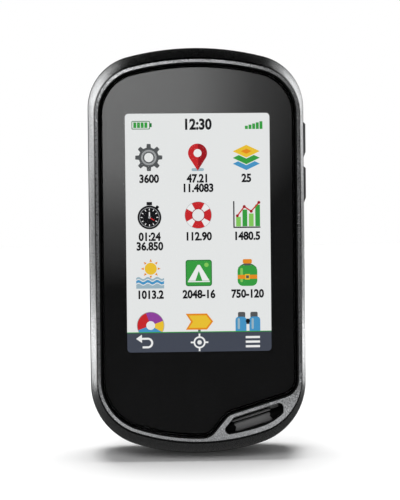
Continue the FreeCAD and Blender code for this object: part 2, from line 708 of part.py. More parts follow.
def fuse(name, shapes):
    union = doc.addObject("Part::MultiFuse", name)
    union.Shapes = shapes
    union.Refine = True
    return union


def cut(name, base, tool):
    difference = doc.addObject("Part::Cut", name)
    difference.Base = base
    difference.Tool = tool
    difference.Refine = True
    return difference


def common(name, base, tool):
    overlap = doc.addObject("Part::Common", name)
    overlap.Base = base
    overlap.Tool = tool
    return overlap


def fillet(name, base, picks):
    """Round edges of a Part object; picks are pairs of an edge test and a radius."""
    doc.recompute()
    rounded = doc.addObject("Part::Fillet", name)
    rounded.Base = base
    rounded.Edges = [(index + 1, number(radius), number(radius))
                     for index, edge in enumerate(base.Shape.Edges)
                     for test, radius in picks if test(edge)]
    return rounded


SUB_PARTS = []


def sub_part(label, obj):
    """Name a finished sub-part and list it for export."""
    obj.Label = label
    SUB_PARTS.append((label, obj))
    return obj


# ---------------------------------------------------------------- strap slot

def sine(angle):
    return Size(math.sin(math.radians(angle.value)), "sin(%s)" % angle.text)


def cosine(angle):
    return Size(math.cos(math.radians(angle.value)), "cos(%s)" % angle.text)


RISE = sine(S["slot_rise"]) / cosine(S["slot_rise"])
STEEP = sine(S["slot_steep"]) / cosine(S["slot_steep"])
UNDER_ALL = -S["front_low_rise"]


def upper_line(x, shift):
    """Height at x of the slot's upper direction, moved square to itself by a shift."""
    return S["slot_knee_z"] + (x - S["slot_knee_x"]) * RISE - shift / cosine(S["slot_rise"])


def slot_region(shift_top, shift_left, right):
    """The lower right region bounded by the slot's upper and left directions."""
    lift_top = shift_top / cosine(S["slot_rise"])
    lift_left = shift_left / cosine(S["slot_steep"])
    knee_x = S["slot_knee_x"] + (lift_left - lift_top) / (STEEP - RISE)
    knee_z = upper_line(knee_x, shift_top)
    foot_x = knee_x - (knee_z - UNDER_ALL) / STEEP
    return [(foot_x, UNDER_ALL), (right, UNDER_ALL), (right, upper_line(right, shift_top)),
            (knee_x, knee_z)]


def side_foot(line):
    """Lower end of an outline's straight side."""
    reach = line.crown_low.value - line.corner_low.value
    across = line.half.value - line.corner_low.value
    return line.low.value + line.crown_low.value - math.sqrt(reach ** 2 - across ** 2)


def low_joint(line):
    """Where an outline's bottom edge passes into its corner."""
    reach = line.crown_low.value - line.corner_low.value
    return line.crown_low.value * (line.half.value - line.corner_low.value) / reach


def glass_shape(name, front, back, gap):
    """The opening of the ring, or a piece that fills it with a gap all round."""
    line = FRONT.inset(S["rim_width"] + gap)
    beyond = FRONT.half + S["rim_width"]
    whole = prism(name + "_whole", front, back, draw_outline, line)
    corner = prism(name + "_corner", front, back, draw_polygon,
                   slot_region(gap * -1, gap * -1, beyond))
    trimmed = cut(name + "_trimmed", whole, corner)
    knee, side = S["slot_knee_x"].value, line.half.value
    limit = side_foot(line) - NEAR / 2

    def turning(low, high):
        def test(edge):
            return upright(edge) and low < edge.BoundBox.XMin < high and edge.BoundBox.ZMin < limit
        return test

    return fillet(name, trimmed, [(turning(EXACT, knee / 2), S["foot_round"]),
                                  (turning(knee / 2, (knee + side) / 2), S["knee_round"]),
                                  (turning((knee + side) / 2, side), S["side_round"])])


def slot_shape(name, front, back):
    """The strap slot, parallel to the rim's lower edge."""
    line = FRONT.inset(S["slot_rim_low"])
    whole = prism(name + "_whole", front, back, draw_outline, line)
    region = prism(name + "_region", front, back, draw_polygon,
                   slot_region(S["slot_rim_top"], S["slot_rim_left"], S["slot_right"]))
    overlap = common(name + "_overlap", whole, region)
    joint = low_joint(line)

    def corner(edge):
        return upright(edge) and abs(edge.BoundBox.XMin - joint) > NEAR / 2

    return fillet(name, overlap, [(corner, S["slot_round"])])


def tunnel_block(name, front, back):
    """Housing material left round the strap tunnel."""
    grow = S["lug_wall"]
    return prism(name, front, back, draw_polygon,
                 slot_region(S["slot_rim_top"] - grow, S["slot_rim_left"] - grow,
                             S["slot_right"] + grow))


def outline_loft(name, sections, ruled):
    sketches = []
    for step, (depth, line) in enumerate(sections):
        sketch = doc.addObject("Sketcher::SketchObject", "%s_section_%d" % (name, step))
        draw_outline(sketch, line)
        place(sketch, y=at_depth(depth), turn=FACING_FRONT)
        sketches.append(sketch)
    solid = doc.addObject("Part::Loft", name)
    solid.Sections = sketches
    solid.Solid = True
    solid.Ruled = ruled
    return solid


def columns(name, places, radius, front, back):
    """Round columns along the depth at several places."""
    return [rod("%s_%d" % (name, step), (x, at_depth(front), z), ALONG_Y, radius, back - front)
            for step, (x, z) in enumerate(places)]


def slab(name, centre, span, front, back):
    """A box between two depths about a centre seen from the front."""
    return block(name, (centre[0] - span[0] / 2, at_depth(front), centre[1] - span[1] / 2),
                 (span[0], back - front, span[1]))


# ---------------------------------------------------------------- painted ring and glass

def make_ring():
    foot = FRONT.inset(-S["rim_ledge"])
    middle = S["rim_lip"] + (S["ring_depth"] - S["rim_lip"]) * S["band_middle"]
    band = outline_loft("ring_band", [(S["rim_lip"], foot),
                                      (middle, foot.towards(SEAM, S["band_share"])),
                                      (S["ring_depth"], SEAM)], False)
    rim = prism("ring_rim", ZERO, S["rim_lip"] * 2, draw_outline, FRONT)
    inside = outline_loft("ring_inside", [(PLATE_FRONT, FRONT.inset(S["rim_width"])),
                                          (S["ring_depth"], SEAM.inset(S["ring_wall"]))], True)
    opening = glass_shape("ring_opening", ZERO, PLATE_FRONT, ZERO)
    slot = slot_shape("ring_slot", ZERO, S["ring_depth"])
    ring = cut("ring_body", fuse("ring_outside", [band, rim]),
               fuse("ring_hollow", [inside, opening, slot]))
    sub_part("bezel_ring", ring)


def make_glass():
    pane = glass_shape("glass_pane", S["glass_sink"], GLASS_BACK, S["glass_gap"])
    front = flat_at(at_depth(S["glass_sink"]))
    sub_part("cover_glass", fillet("glass_rolled", pane, [(front, S["glass_round"])]))
    touch_size = (PANEL_WIDTH - S["touch_inset"] * 2, PANEL_HEIGHT - S["touch_inset"] * 2)
    sub_part("touch_sensor", slab("touch_sheet", PANEL_MIDDLE, touch_size, GLASS_BACK, PLATE_FRONT))
    frame = glass_shape("adhesive_sheet", GLASS_BACK, PLATE_FRONT,
                        S["glass_gap"] + S["adhesive_inset"])
    window = slab("adhesive_window", PANEL_MIDDLE,
                  (PANEL_WIDTH + S["panel_gap"], PANEL_HEIGHT + S["panel_gap"]),
                  GLASS_BACK, PLATE_FRONT)
    sub_part("glass_adhesive", cut("adhesive_frame", frame, window))


def make_display():
    middle = PANEL_MIDDLE
    size = (PANEL_WIDTH, PANEL_HEIGHT)
    sub_part("display_panel", slab("panel", middle, size, PLATE_FRONT, PANEL_BACK))
    sub_part("backlight_unit", slab("backlight", middle, size, PANEL_BACK, LIGHT_BACK))
    room = (size[0] + S["bracket_gap"] * 2, size[1] + S["bracket_gap"] * 2)
    outer = (room[0] + S["bracket_wall"] * 2, room[1] + S["bracket_wall"] * 2)
    tray = cut("bracket_tray", slab("bracket_block", middle, outer, PLATE_BACK, BRACKET_BACK),
               slab("bracket_room", middle, room, PLATE_BACK, LIGHT_BACK))
    sub_part("display_bracket", tray)
    tail = new_body("display_tail")
    bend, reach = outer[1] / 2 + S["flex_thick"], S["tail_reach"]
    low = PANEL_MIDDLE[1] - bend
    start = at_depth(BRACKET_BACK)
    flat = start + S["flex_thick"]
    board = at_depth(BOARD_FRONT)
    points = [(start, low + reach), (start, low - S["flex_thick"]),
              (board, low - S["flex_thick"]), (board, low), (flat, low), (flat, low + reach)]
    strip = tail.newObject("PartDesign::Pad", "tail_strip")
    strip.Profile = sketch_in(tail, "tail_profile", "side", -S["tail_width"] / 2,
                              draw_polygon, points)
    bind(strip, Length=S["tail_width"])
    sub_part("display_flex", tail)


# ---------------------------------------------------------------- housings

def make_front_housing():
    outside = outline_loft("front_outside", [(PLATE_FRONT, FRONT.inset(NESTED)),
                                             (S["ring_depth"], SEAM.inset(NESTED_SEAM))], True)
    hollow = outline_loft("front_hollow",
                          [(PLATE_BACK, FRONT.inset(NESTED + S["front_wall"])),
                           (S["ring_depth"], SEAM.inset(NESTED_SEAM + S["front_wall"]))], True)
    solids = columns("front_boss", SCREWS, S["boss_radius"], PLATE_FRONT, S["ring_depth"])
    solids += columns("board_post", POSTS, S["post_radius"], PLATE_FRONT, BOARD_FRONT)
    solids.append(tunnel_block("front_lug", PLATE_FRONT, S["ring_depth"]))
    shell = cut("front_shell", outside,
                cut("front_room", hollow, fuse("front_solids", solids)))
    holes = columns("front_screw_hole", SCREWS, S["screw_radius"] + S["fit_gap"] / 2,
                    S["ring_depth"] - S["screw_bite"] - S["rim_width"], S["ring_depth"])
    holes += columns("post_hole", POSTS, S["board_screw"] + S["fit_gap"] / 2,
                     PLATE_BACK, BOARD_FRONT)
    holes.append(slab("display_opening", PANEL_MIDDLE,
                      (PANEL_WIDTH + S["bracket_gap"] * 2,
                       PANEL_HEIGHT + S["bracket_gap"] * 2), PLATE_FRONT, PLATE_BACK))
    holes.append(slot_shape("front_slot", PLATE_FRONT, S["ring_depth"]))
    drilled = cut("front_drilled", shell, fuse("front_holes", holes))
    left = S["slot_knee_x"] - S["lug_wall"] * 4
    bar = rod("strap_rod", (left, at_depth(S["bar_depth"]),
                            upper_line(left, S["slot_rim_top"] + S["bar_drop"])),
              Rotation(Vector(0, 1, 0), 90 - S["slot_rise"].value), S["bar_radius"], FRONT.half)
    kept = common("strap_bar", bar, common("bar_limits", outline_loft(
        "bar_outside", [(PLATE_FRONT, FRONT.inset(NESTED)),
                        (S["ring_depth"], SEAM.inset(NESTED_SEAM))], True),
        tunnel_block("bar_lug", PLATE_FRONT, S["ring_depth"])))
    sub_part("front_housing", fuse("front_body", [drilled, kept]))


def make_gasket():
    outer = prism("gasket_outer", S["ring_depth"], SHELL_FRONT, draw_outline,
                  WAIST.inset(S["gasket_edge"]))
    inner = prism("gasket_inner", S["ring_depth"], SHELL_FRONT, draw_outline,
                  WAIST.inset(S["gasket_edge"] + S["gasket_width"]))
    sub_part("main_gasket", cut("gasket_ring", outer, inner))


def rear_room():
    """The space inside the rear housing, less everything that stands in it."""
    rooms = [prism("rear_hollow", SHELL_FRONT, CAVITY_BACK, draw_outline,
                   WAIST.inset(S["rear_wall"])),
             slab("upper_room", UPPER_MIDDLE,
                  (S["upper_width"] + S["upper_gap"] * 2, S["upper_height"] + S["upper_gap"] * 2),
                  SHELL_FRONT, WALL_INSIDE)]
    solids = columns("rear_boss", SCREWS, S["boss_radius"] + S["screw_gap"], SHELL_FRONT, BACK)
    solids += columns("upper_post", UPPER_POSTS, S["upper_post"], UPPER_BACK, BACK)
    solids.append(tunnel_block("rear_lug", SHELL_FRONT, BACK))
    solids.append(slab("bay_walls", BAY_CENTRE,
                       ((BAY_HALF + S["bay_wall"]) * 2, BAY_LENGTH + S["bay_wall"] * 2),
                       SHELL_FRONT, BACK))
    solids.append(rod("latch_well", (ZERO, at_depth(LATCH_UNDER - S["latch_reach"]
                                                            - S["bay_wall"]), S["latch_height"]),
                      ALONG_Y, S["latch_bar"] / 2 + S["bay_wall"] + S["latch_gap"] * 2,
                      S["latch_reach"] + S["cover_thick"] + S["bay_wall"]))
    solids.append(slab("port_frame", (S["port_x"], PORT_LINE),
                       (S["cap_width"] + S["rear_wall"], S["cap_height"] + S["rear_wall"]),
                       CAP_FLOOR - S["rear_wall"], BACK))
    for name, low in (("low", KEY_BOARD_LOW - S["rib_thick"]), ("high", KEY_BOARD_HIGH)):
        rib_edge = KEY_BOARD - S["key_board_thick"] * 2
        solids.append(block("key_rib_" + name, (rib_edge, at_depth(SHELL_FRONT), low),
                            (WAIST.half - rib_edge,
                             KEY_DEPTH + S["key_board_width"] / 2 - SHELL_FRONT,
                             S["rib_thick"])))
    return cut("rear_room", fuse("rear_rooms", rooms), fuse("rear_solids", solids))


def rear_openings():
    """Everything that is cut through the rear housing."""
    middle = (ZERO, S["latch_height"])
    port = (S["port_x"], PORT_LINE)
    holes = columns("rear_screw_hole", SCREWS, S["screw_radius"] + S["screw_gap"],
                    SHELL_FRONT, BACK)
    holes += columns("screw_recess", SCREWS, S["screw_head"] + S["screw_gap"],
                     SCREW_SEAT, OVERALL)
    holes.append(slab("bay_room", BAY_CENTRE, (BAY_HALF * 2, BAY_LENGTH), BAY_FLOOR, BACK))
    holes.append(slab("card_window", (S["socket_x"], SOCKET_Z),
                      (S["socket_width"] + S["cover_gap"] * 2,
                       S["socket_length"] + S["cover_gap"] * 2), BAY_FRONT, BAY_FLOOR))
    holes.append(prism("cover_recess", LEDGE, OVERALL, draw_outline, COVER.inset(-S["cover_gap"])))
    holes += columns("latch_recess", [middle],
                     S["latch_recess"] + S["latch_rim"] + S["cover_gap"],
                     LATCH_UNDER - S["cover_gap"], BACK)
    holes += columns("latch_room", [middle], S["latch_bar"] / 2 + S["latch_gap"] * 2,
                     LATCH_UNDER - S["latch_reach"], BACK)
    holes.append(slot_shape("rear_slot", SHELL_FRONT, OVERALL))
    camera = [(CAMERA_X, PORT_LINE)]
    holes += columns("camera_hole", camera, S["camera_radius"], WALL_INSIDE, BACK)
    holes += columns("camera_seat", camera, S["camera_radius"] + S["camera_ring"] + S["fit_gap"],
                     BACK - S["window_thick"] - S["window_sink"], BACK)
    holes += columns("flash_hole", [(FLASH_X, PORT_LINE)],
                     S["flash_radius"] + S["fit_gap"], WALL_INSIDE, BACK)
    holes += columns("vent_holes", [(VENT_X, PORT_LINE + step * S["vent_pitch"])
                                    for step in (-1, 0, 1)], S["vent_hole"], WALL_INSIDE, BACK)
    holes.append(slab("port_passage", port, (S["port_width"], S["port_height"]),
                      CAP_FLOOR - S["rear_wall"], BACK))
    holes.append(slab("cap_recess", port, (S["cap_width"] + S["cap_gap"] * 2,
                                           S["cap_height"] + S["cap_gap"] * 2), CAP_FLOOR, BACK))
    for name, height, length in KEYS:
        holes.append(block(name + "_passage",
                           (WAIST.half - S["rear_wall"] * 2,
                            at_depth(KEY_DEPTH) - S["key_width"] / 2 - S["key_gap"],
                            height - length / 2 - S["key_gap"]),
                           (S["rear_wall"] * 3, S["key_width"] + S["key_gap"] * 2,
                            length + S["key_gap"] * 2)))
    return fuse("rear_openings", holes)


def make_rear_housing():
    outside = prism("rear_outside", SHELL_FRONT, BACK, draw_outline, WAIST)
    rounded = fillet("rear_rounded", outside, [(flat_at(at_depth(BACK)), S["back_round"])])
    shell = cut("rear_shell", rounded, rear_room())
    bay = slab("bay_nose", BAY_CENTRE,
               ((BAY_HALF + S["bay_wall"]) * 2, BAY_LENGTH + S["bay_wall"] * 2),
               BAY_FRONT, SHELL_FRONT + S["bay_wall"])
    housing = cut("rear_body", fuse("rear_with_bay", [shell, bay]), rear_openings())
    sub_part("rear_housing", housing)


def turned_body(label, profile):
    """A body of revolution about its own upright axis, from points (radius, height)."""
    body = new_body(label)
    sketch = sketch_in(body, label + "_profile", "front", ZERO,
                       draw_polygon, profile)
    turn = body.newObject("PartDesign::Revolution", label + "_turn")
    turn.Profile = sketch
    turn.ReferenceAxis = (sketch, ["V_Axis"])
    turn.Angle = 360
    return body


def group(label, members):
    """Several alike solids that share one node."""
    bundle = doc.addObject("Part::Compound", label + "_group")
    bundle.Links = members
    return sub_part(label, bundle)


def make_screws():
    for label, shank, head, thick, reach, seat, places in (
            ("housing_screws", S["screw_radius"], S["screw_head"], S["screw_head_thick"],
             SCREW_SEAT - S["ring_depth"] + S["screw_bite"], SCREW_SEAT, SCREWS),
            ("board_screws", S["board_screw"], S["board_screw_head"], S["board_screw_thick"],
             S["board_screw_length"], BOARD_BACK, POSTS)):
        socket, dip, shoulder = head / 2, thick / 2, head * 0.8
        profile = [
            (ZERO, dip), (socket, dip), (socket, thick), (shoulder, thick), (head, dip),
            (head, ZERO), (shank, ZERO), (shank, shank / 2 - reach), (shank / 2, -reach),
            (ZERO, -reach)]
        screws = []
        for step, (x, z) in enumerate(places):
            screw = turned_body("%s_%d" % (label, step), profile)
            place(screw, x, at_depth(seat), z, ALONG_Y)
            screws.append(screw)
        group(label, screws)


# ---------------------------------------------------------------- batteries and contacts

def make_batteries():
    radius, length, nub = S["battery_radius"], S["battery_length"], S["nub_height"]
    rim = S["cell_bevel"]
    foot_ring, shoulder = radius * 0.8, radius * 0.86
    profile = [(ZERO, ZERO), (foot_ring, ZERO), (radius - rim, rim), (radius, rim * 2),
               (radius, length - nub - rim * 2), (radius - rim, length - nub - rim),
               (shoulder, length - nub), (S["nub_radius"], length - nub),
               (S["nub_radius"], length - rim), (S["nub_radius"] - rim, length), (ZERO, length)]
    across = radius + S["battery_gap"] / 2
    foot = BAY_LOW + S["contact_thick"] + S["spring_height"]
    head = BAY_LOW + BAY_LENGTH - S["contact_thick"] - S["spring_height"]
    for label, x, z, turn in (("battery_left", -across, foot, Rotation()),
                              ("battery_right", across, head, HALF_TURN)):
        cell = turned_body(label + "_cell", profile)
        place(cell, x, at_depth(CELL_DEPTH), z, turn)
        sub_part(label, cell)


SPRING_STEPS = 16


def coil_spring(name, x, foot, turn):
    """A narrowing spring of short mitred runs, wound up from its foot."""
    wire, base = S["spring_wire"].value, S["spring_base"].value
    height = S["spring_height"].value - wire * 2
    steps = int(S["spring_turns"].value * SPRING_STEPS)
    points = []
    for step in range(steps + 1):
        angle = 2 * math.pi * step / SPRING_STEPS
        radius = base - S["spring_taper"].value * step / steps
        points.append(Vector(radius * math.cos(angle), radius * math.sin(angle),
                             wire + height * step / steps))
    start = Part.Wire([Part.makeCircle(wire, points[0], points[1] - points[0])])
    mitred = 1
    coil = doc.addObject("Part::Feature", name)
    coil.Shape = Part.makePolygon(points).makePipeShell([start], True, False, mitred)
    place(coil, x, at_depth(CELL_DEPTH), foot, turn)
    return coil


def make_contacts():
    across = S["battery_radius"] + S["battery_gap"] / 2
    width = S["contact_width"]
    low, high = BAY_LOW, BAY_LOW + BAY_LENGTH
    plates, springs = [], []
    for step, (x, foot) in enumerate(((-across, low), (across, high - S["contact_thick"]),
                                      (-across, high - S["contact_thick"]), (across, low))):
        plate = block("contact_plate_%d" % step,
                      (x - width / 2, at_depth(CELL_DEPTH) - width / 2, foot),
                      (width, width, S["contact_thick"]))
        plates.append(plate)
    springs.append(coil_spring("spring_low", -across, low + S["contact_thick"], Rotation()))
    springs.append(coil_spring("spring_high", across, high - S["contact_thick"], HALF_TURN))
    group("battery_springs", springs)
    group("contact_plates", plates)


# ---------------------------------------------------------------- battery cover and latch

def make_cover():
    middle, bead = (ZERO, S["latch_height"]), S["latch_bead"]
    cover = new_body("cover_moulding")
    plate = pad(cover, "cover_plate", COVER_FRONT, BACK, draw_outline, COVER)
    dress(cover, "Fillet", "cover_edge", plate, S["rim_lip"], flat_at(at_depth(BACK)))
    pad(cover, "latch_cup", LATCH_UNDER, COVER_FRONT, draw_circle, middle,
        S["latch_recess"] + S["latch_rim"])
    pocket(cover, "latch_recess", LATCH_FLOOR, BACK, draw_circle, middle, S["latch_recess"])
    pocket(cover, "latch_bore", LATCH_UNDER, BACK, draw_circle, middle,
           S["latch_shaft"] + S["latch_gap"])
    pocket(cover, "seal_bore", LATCH_FLOOR - (bead + S["latch_gap"]) * 2, BACK, draw_circle,
           middle, S["latch_shaft"] + (bead + S["latch_gap"]) * 2)
    spine = (middle[0], BAY_LOW + S["spine_rise"] + S["spine_length"] / 2)
    crest = OVERALL - S["spine_lip"]
    pad(cover, "spine_neck", BACK, crest, draw_box, spine, S["spine_neck"], S["spine_length"])
    top = pad(cover, "spine_crest", crest, OVERALL, draw_box, spine,
              S["spine_crest"], S["spine_length"])
    corners = [(spine[0] + side * S["spine_crest"] / 2, spine[1] + end * S["spine_length"] / 2)
               for side in (1, -1) for end in (1, -1)]
    rounded = dress(cover, "Fillet", "spine_corners", top, S["spine_round"], runs_back(*corners))
    dress(cover, "Fillet", "spine_edge", rounded, S["rim_lip"],
          flat_at(at_depth(OVERALL)))
    sub_part("battery_cover", cover)
    outer = prism("seal_outer", COVER_FRONT - S["seal_thick"], COVER_FRONT, draw_outline,
                  COVER.inset(S["seal_edge"]))
    inner = prism("seal_inner", COVER_FRONT - S["seal_thick"], COVER_FRONT, draw_outline,
                  COVER.inset(S["seal_edge"] + S["seal_width"]))
    sub_part("cover_seal", cut("seal_ring", outer, inner))
    ring = doc.addObject("Part::Torus", "latch_bead")
    bind(ring, Radius1=S["latch_shaft"] + bead + S["latch_gap"], Radius2=bead)
    place(ring, 0, at_depth(LATCH_FLOOR - bead - S["latch_gap"]), S["latch_height"], ALONG_Y)
    sub_part("latch_seal", ring)


def make_latch():
    middle = (ZERO, S["latch_height"])
    lug_back = RING_AXIS + S["ring_wire"]
    bar_back = LATCH_UNDER - S["latch_gap"]
    bar_front = bar_back - S["latch_bar_thick"]
    stud = new_body("latch_stud_turning")
    pad(stud, "latch_disc", DISC_FRONT, DISC_BACK, draw_circle, middle, S["latch_disc"])
    pad(stud, "latch_shaft", bar_front - S["latch_end"], DISC_FRONT, draw_circle, middle,
        S["latch_shaft"])
    lug = pad(stud, "latch_lug", DISC_BACK, lug_back, draw_box, middle,
              S["lug_length"], S["lug_height"])
    lug_face = flat_at(at_depth(lug_back))
    dress(stud, "Fillet", "lug_edges", lug, S["lug_round"],
          lambda edge: lug_face(edge) and edge.BoundBox.XLength > NEAR)
    bore = stud.newObject("PartDesign::Pocket", "ring_bore")
    bore.Profile = sketch_in(stud, "ring_bore_sketch", "side", S["lug_length"], draw_circle,
                             (at_depth(RING_AXIS), middle[1]), S["ring_wire"] + S["pin_gap"])
    bind(bore, Length=S["lug_length"] * 2)
    sub_part("latch_stud", stud)
    span = (S["latch_bar"], bar_back - bar_front, S["latch_bar_width"] + S["latch_shaft"])
    bar = block("latch_bar_blank", (-S["latch_bar"] / 2, at_depth(bar_front),
                                    middle[1] - span[2] / 2), span)
    round_off = rod("latch_bar_round", (0, at_depth(bar_front), S["latch_height"]), ALONG_Y,
                    S["latch_bar"] / 2, bar_back - bar_front)
    hole = rod("latch_bar_hole", (0, at_depth(bar_front), S["latch_height"]), ALONG_Y,
               S["latch_shaft"], bar_back - bar_front)
    sub_part("latch_bar", cut("latch_bar_drilled", common("latch_bar_turned", bar, round_off),
                              hole))


def make_d_ring():
    radius, wire, high = S["ring_radius"], S["ring_wire"], S["latch_height"]
    bow = doc.addObject("Part::Torus", "ring_bow")
    bow.Angle3 = 180
    bind(bow, Radius1=radius, Radius2=wire)
    place(bow, 0, at_depth(RING_AXIS), high, ALONG_Y)
    parts = [bow, rod("ring_bar", (-radius, at_depth(RING_AXIS), high), ALONG_X, wire, radius * 2)]
    for step, side in enumerate((1, -1)):
        ball = doc.addObject("Part::Sphere", "ring_corner_%d" % step)
        bind(ball, Radius=wire)
        place(ball, side * radius, at_depth(RING_AXIS), high)
        parts.append(ball)
    sub_part("d_ring", fuse("ring_body", parts))


# ---------------------------------------------------------------- boards

def make_main_board():
    board = new_body("main_board_blank")
    centre = (ZERO, (S["board_low"] + BOARD_HIGH) / 2)
    sheet_pad = pad(board, "board_sheet", BOARD_FRONT, BOARD_BACK, draw_box, centre,
                    BOARD_WIDTH, BOARD_HIGH - S["board_low"])
    dress(board, "Fillet", "board_corners", sheet_pad, S["board_corner"], runs_back())
    for step, spot in enumerate(POSTS):
        pocket(board, "board_hole_%d" % step, BOARD_FRONT, BOARD_BACK, draw_circle, spot,
               S["board_screw"] + S["fit_gap"])
    sub_part("main_board", board)
    high = BOARD_BACK + S["can_height"]
    cans = []
    for name, height in (("radio_can", RADIO_CAN_Z), ("power_can", S["power_can_z"])):
        spot = (S[name + "_x"], height)
        span = (S[name + "_width"], S[name + "_length"])
        room = tuple(size - S["bracket_wall"] * 2 for size in span)
        cans.append(cut(name, slab(name + "_block", spot, span, BOARD_BACK, high),
                        slab(name + "_room", spot, room, BOARD_BACK, high - S["bracket_wall"])))
    group("shield_cans", cans)
    group("board_chips", [
        slab(name, (S[name + "_x"], S[name + "_z"]), (S[name + "_side"], S[name + "_side"]),
             BOARD_FRONT - S["chip_height"], BOARD_FRONT)
        for name in ("processor", "memory", "driver", "compass")])
    side = S["antenna_side"]
    patch = slab("antenna_patch", (ZERO, ANTENNA_Z), (side, side),
                 BOARD_BACK, BOARD_BACK + S["antenna_thick"])
    sub_part("gps_antenna", patch)
    spot = (S["buzzer_x"], at_depth(BOARD_BACK), S["buzzer_z"])
    hole = (spot[0], spot[1] + S["buzzer_thick"] / 2, spot[2])
    buzzer = cut("buzzer_can",
                 rod("buzzer_disc", spot, ALONG_Y, S["buzzer_radius"], S["buzzer_thick"]),
                 rod("buzzer_sound", hole, ALONG_Y, S["buzzer_hole"], S["buzzer_thick"]))
    sub_part("piezo_buzzer", buzzer)


def make_card():
    spot = (S["socket_x"], SOCKET_Z)
    back = BOARD_BACK + S["socket_height"]
    card_front = back - S["bracket_wall"] - S["card_thick"] - S["fit_gap"]
    room = slab("card_room", (spot[0], spot[1] + S["socket_length"] / 2),
                (S["card_width"] + S["fit_gap"] * 2,
                 S["card_length"] * 2 + S["fit_gap"] * 2),
                card_front - S["fit_gap"], back - S["bracket_wall"])
    socket = cut("socket_shell",
                 slab("socket_block", spot, (S["socket_width"], S["socket_length"]),
                      BOARD_BACK, back), room)
    sub_part("card_socket", socket)
    high = spot[1] + S["socket_length"] / 2
    card = slab("card_blank", (spot[0], high - S["card_length"] / 2),
                (S["card_width"], S["card_length"]), card_front, card_front + S["card_thick"])
    sub_part("memory_card", card)


def make_upper_board():
    sub_part("upper_board", slab("upper_sheet", UPPER_MIDDLE,
                                 (S["upper_width"], S["upper_height"]),
                                 UPPER_FRONT, UPPER_BACK))
    strip = slab("upper_strip", (S["upper_flex_x"], PORT_LINE - S["upper_height"] / 2 - S["flex_thick"] / 2),
                 (S["camera_side"], S["flex_thick"]), BOARD_BACK, UPPER_BACK)
    sub_part("upper_flex", strip)


# ---------------------------------------------------------------- camera, flash, vent, port

def make_camera():
    spot = (CAMERA_X, PORT_LINE)
    glass_back = BACK - S["window_sink"]
    seat = glass_back - S["window_thick"]
    barrel_back = seat - S["window_sink"]
    housing_back = barrel_back - S["barrel_length"]
    module = fuse("camera_solid", [
        slab("camera_block", spot, (S["camera_side"], S["camera_side"]),
             UPPER_BACK, housing_back),
        rod("camera_barrel", (spot[0], at_depth(housing_back), spot[1]), ALONG_Y,
            S["barrel_radius"], S["barrel_length"])])
    lens = doc.addObject("Part::Sphere", "camera_lens_cut")
    bind(lens, Radius=S["lens_ball"])
    place(lens, spot[0], at_depth(barrel_back + S["lens_ball"] - S["lens_dish"]), spot[1])
    sub_part("camera_module", cut("camera_dished", module, lens))
    outer = S["camera_radius"] + S["camera_ring"]
    trim = new_body("camera_trim")
    pad(trim, "trim_disc", seat, BACK + S["window_sink"], draw_circle, spot, outer)
    ring = pocket(trim, "trim_hole", seat, BACK + S["window_sink"], draw_circle, spot,
                  S["camera_radius"])
    dress(trim, "Chamfer", "trim_bevel", ring, S["window_sink"],
          flat_at(at_depth(BACK + S["window_sink"])))
    sub_part("camera_ring", trim)
    sub_part("camera_window", rod("window_disc", (spot[0], at_depth(seat), spot[1]), ALONG_Y,
                                  S["camera_radius"], S["window_thick"]))


def make_flash():
    spot = (FLASH_X, PORT_LINE)
    front = BACK - S["flash_thick"]
    sub_part("flash_lens", rod("flash_disc", (spot[0], at_depth(front), spot[1]), ALONG_Y,
                               S["flash_radius"], S["flash_thick"]))
    lamp_back = front - S["led_gap"]
    dome_foot = lamp_back - S["led_height"]
    base = slab("led_riser", spot, (S["led_side"], S["led_side"]), UPPER_BACK, dome_foot)
    lamp = rod("led_dome", (spot[0], at_depth(dome_foot), spot[1]), ALONG_Y,
               S["led_radius"], S["led_height"])
    sub_part("flash_led", fuse("led_body", [base, lamp]))


def make_vent():
    sub_part("vent_membrane", rod("membrane_disc",
                                  (VENT_X, at_depth(WALL_INSIDE - S["membrane_thick"]),
                                   PORT_LINE), ALONG_Y, S["membrane_radius"],
                                  S["membrane_thick"]))


def make_port():
    spot = (S["port_x"], PORT_LINE)
    mouth = UPPER_BACK + S["port_length"]
    wall = S["port_wall"]
    outer = (S["port_width"] - S["port_gap"] * 2, S["port_height"] - S["port_gap"] * 2)
    room = (outer[0] - wall * 2, outer[1] - wall * 2)
    shell = cut("port_shell", slab("port_block", spot, outer, UPPER_BACK, mouth),
                slab("port_room", spot, room, UPPER_BACK + wall, mouth))
    tongue = slab("port_tongue", spot, (room[0] - S["tongue_margin"] * 2, S["tongue_thick"]),
                  UPPER_BACK, mouth - S["tongue_sink"])
    sub_part("usb_port", fuse("port_body", [shell, tongue]))


def make_cap():
    spot = (S["port_x"], PORT_LINE)
    cap = new_body("cap_moulding")
    plate = pad(cap, "cap_plate", BACK - S["cap_thick"], BACK, draw_box, spot,
                S["cap_width"], S["cap_height"])
    low, high = [PORT_LINE + side * S["cap_height"] / 2 for side in (-1, 1)]

    def hinge_edge(edge):
        return edge.BoundBox.XLength > NEAR and abs(edge.BoundBox.ZMin - low.value) < EXACT

    corners = [(S["port_x"] + side * S["cap_width"] / 2, high) for side in (-1, 1)]
    rounded = dress(cap, "Fillet", "cap_corners", plate, S["cap_corner"], runs_back(*corners))
    dress(cap, "Fillet", "cap_hinge", rounded, S["cap_roll"], hinge_edge)
    pad(cap, "cap_plug", BACK - S["cap_thick"] - S["cap_plug_length"],
        BACK - S["cap_thick"], draw_box, spot, S["cap_plug_width"], S["cap_plug_height"])
    sub_part("usb_cap", cap)


# ---------------------------------------------------------------- side keys

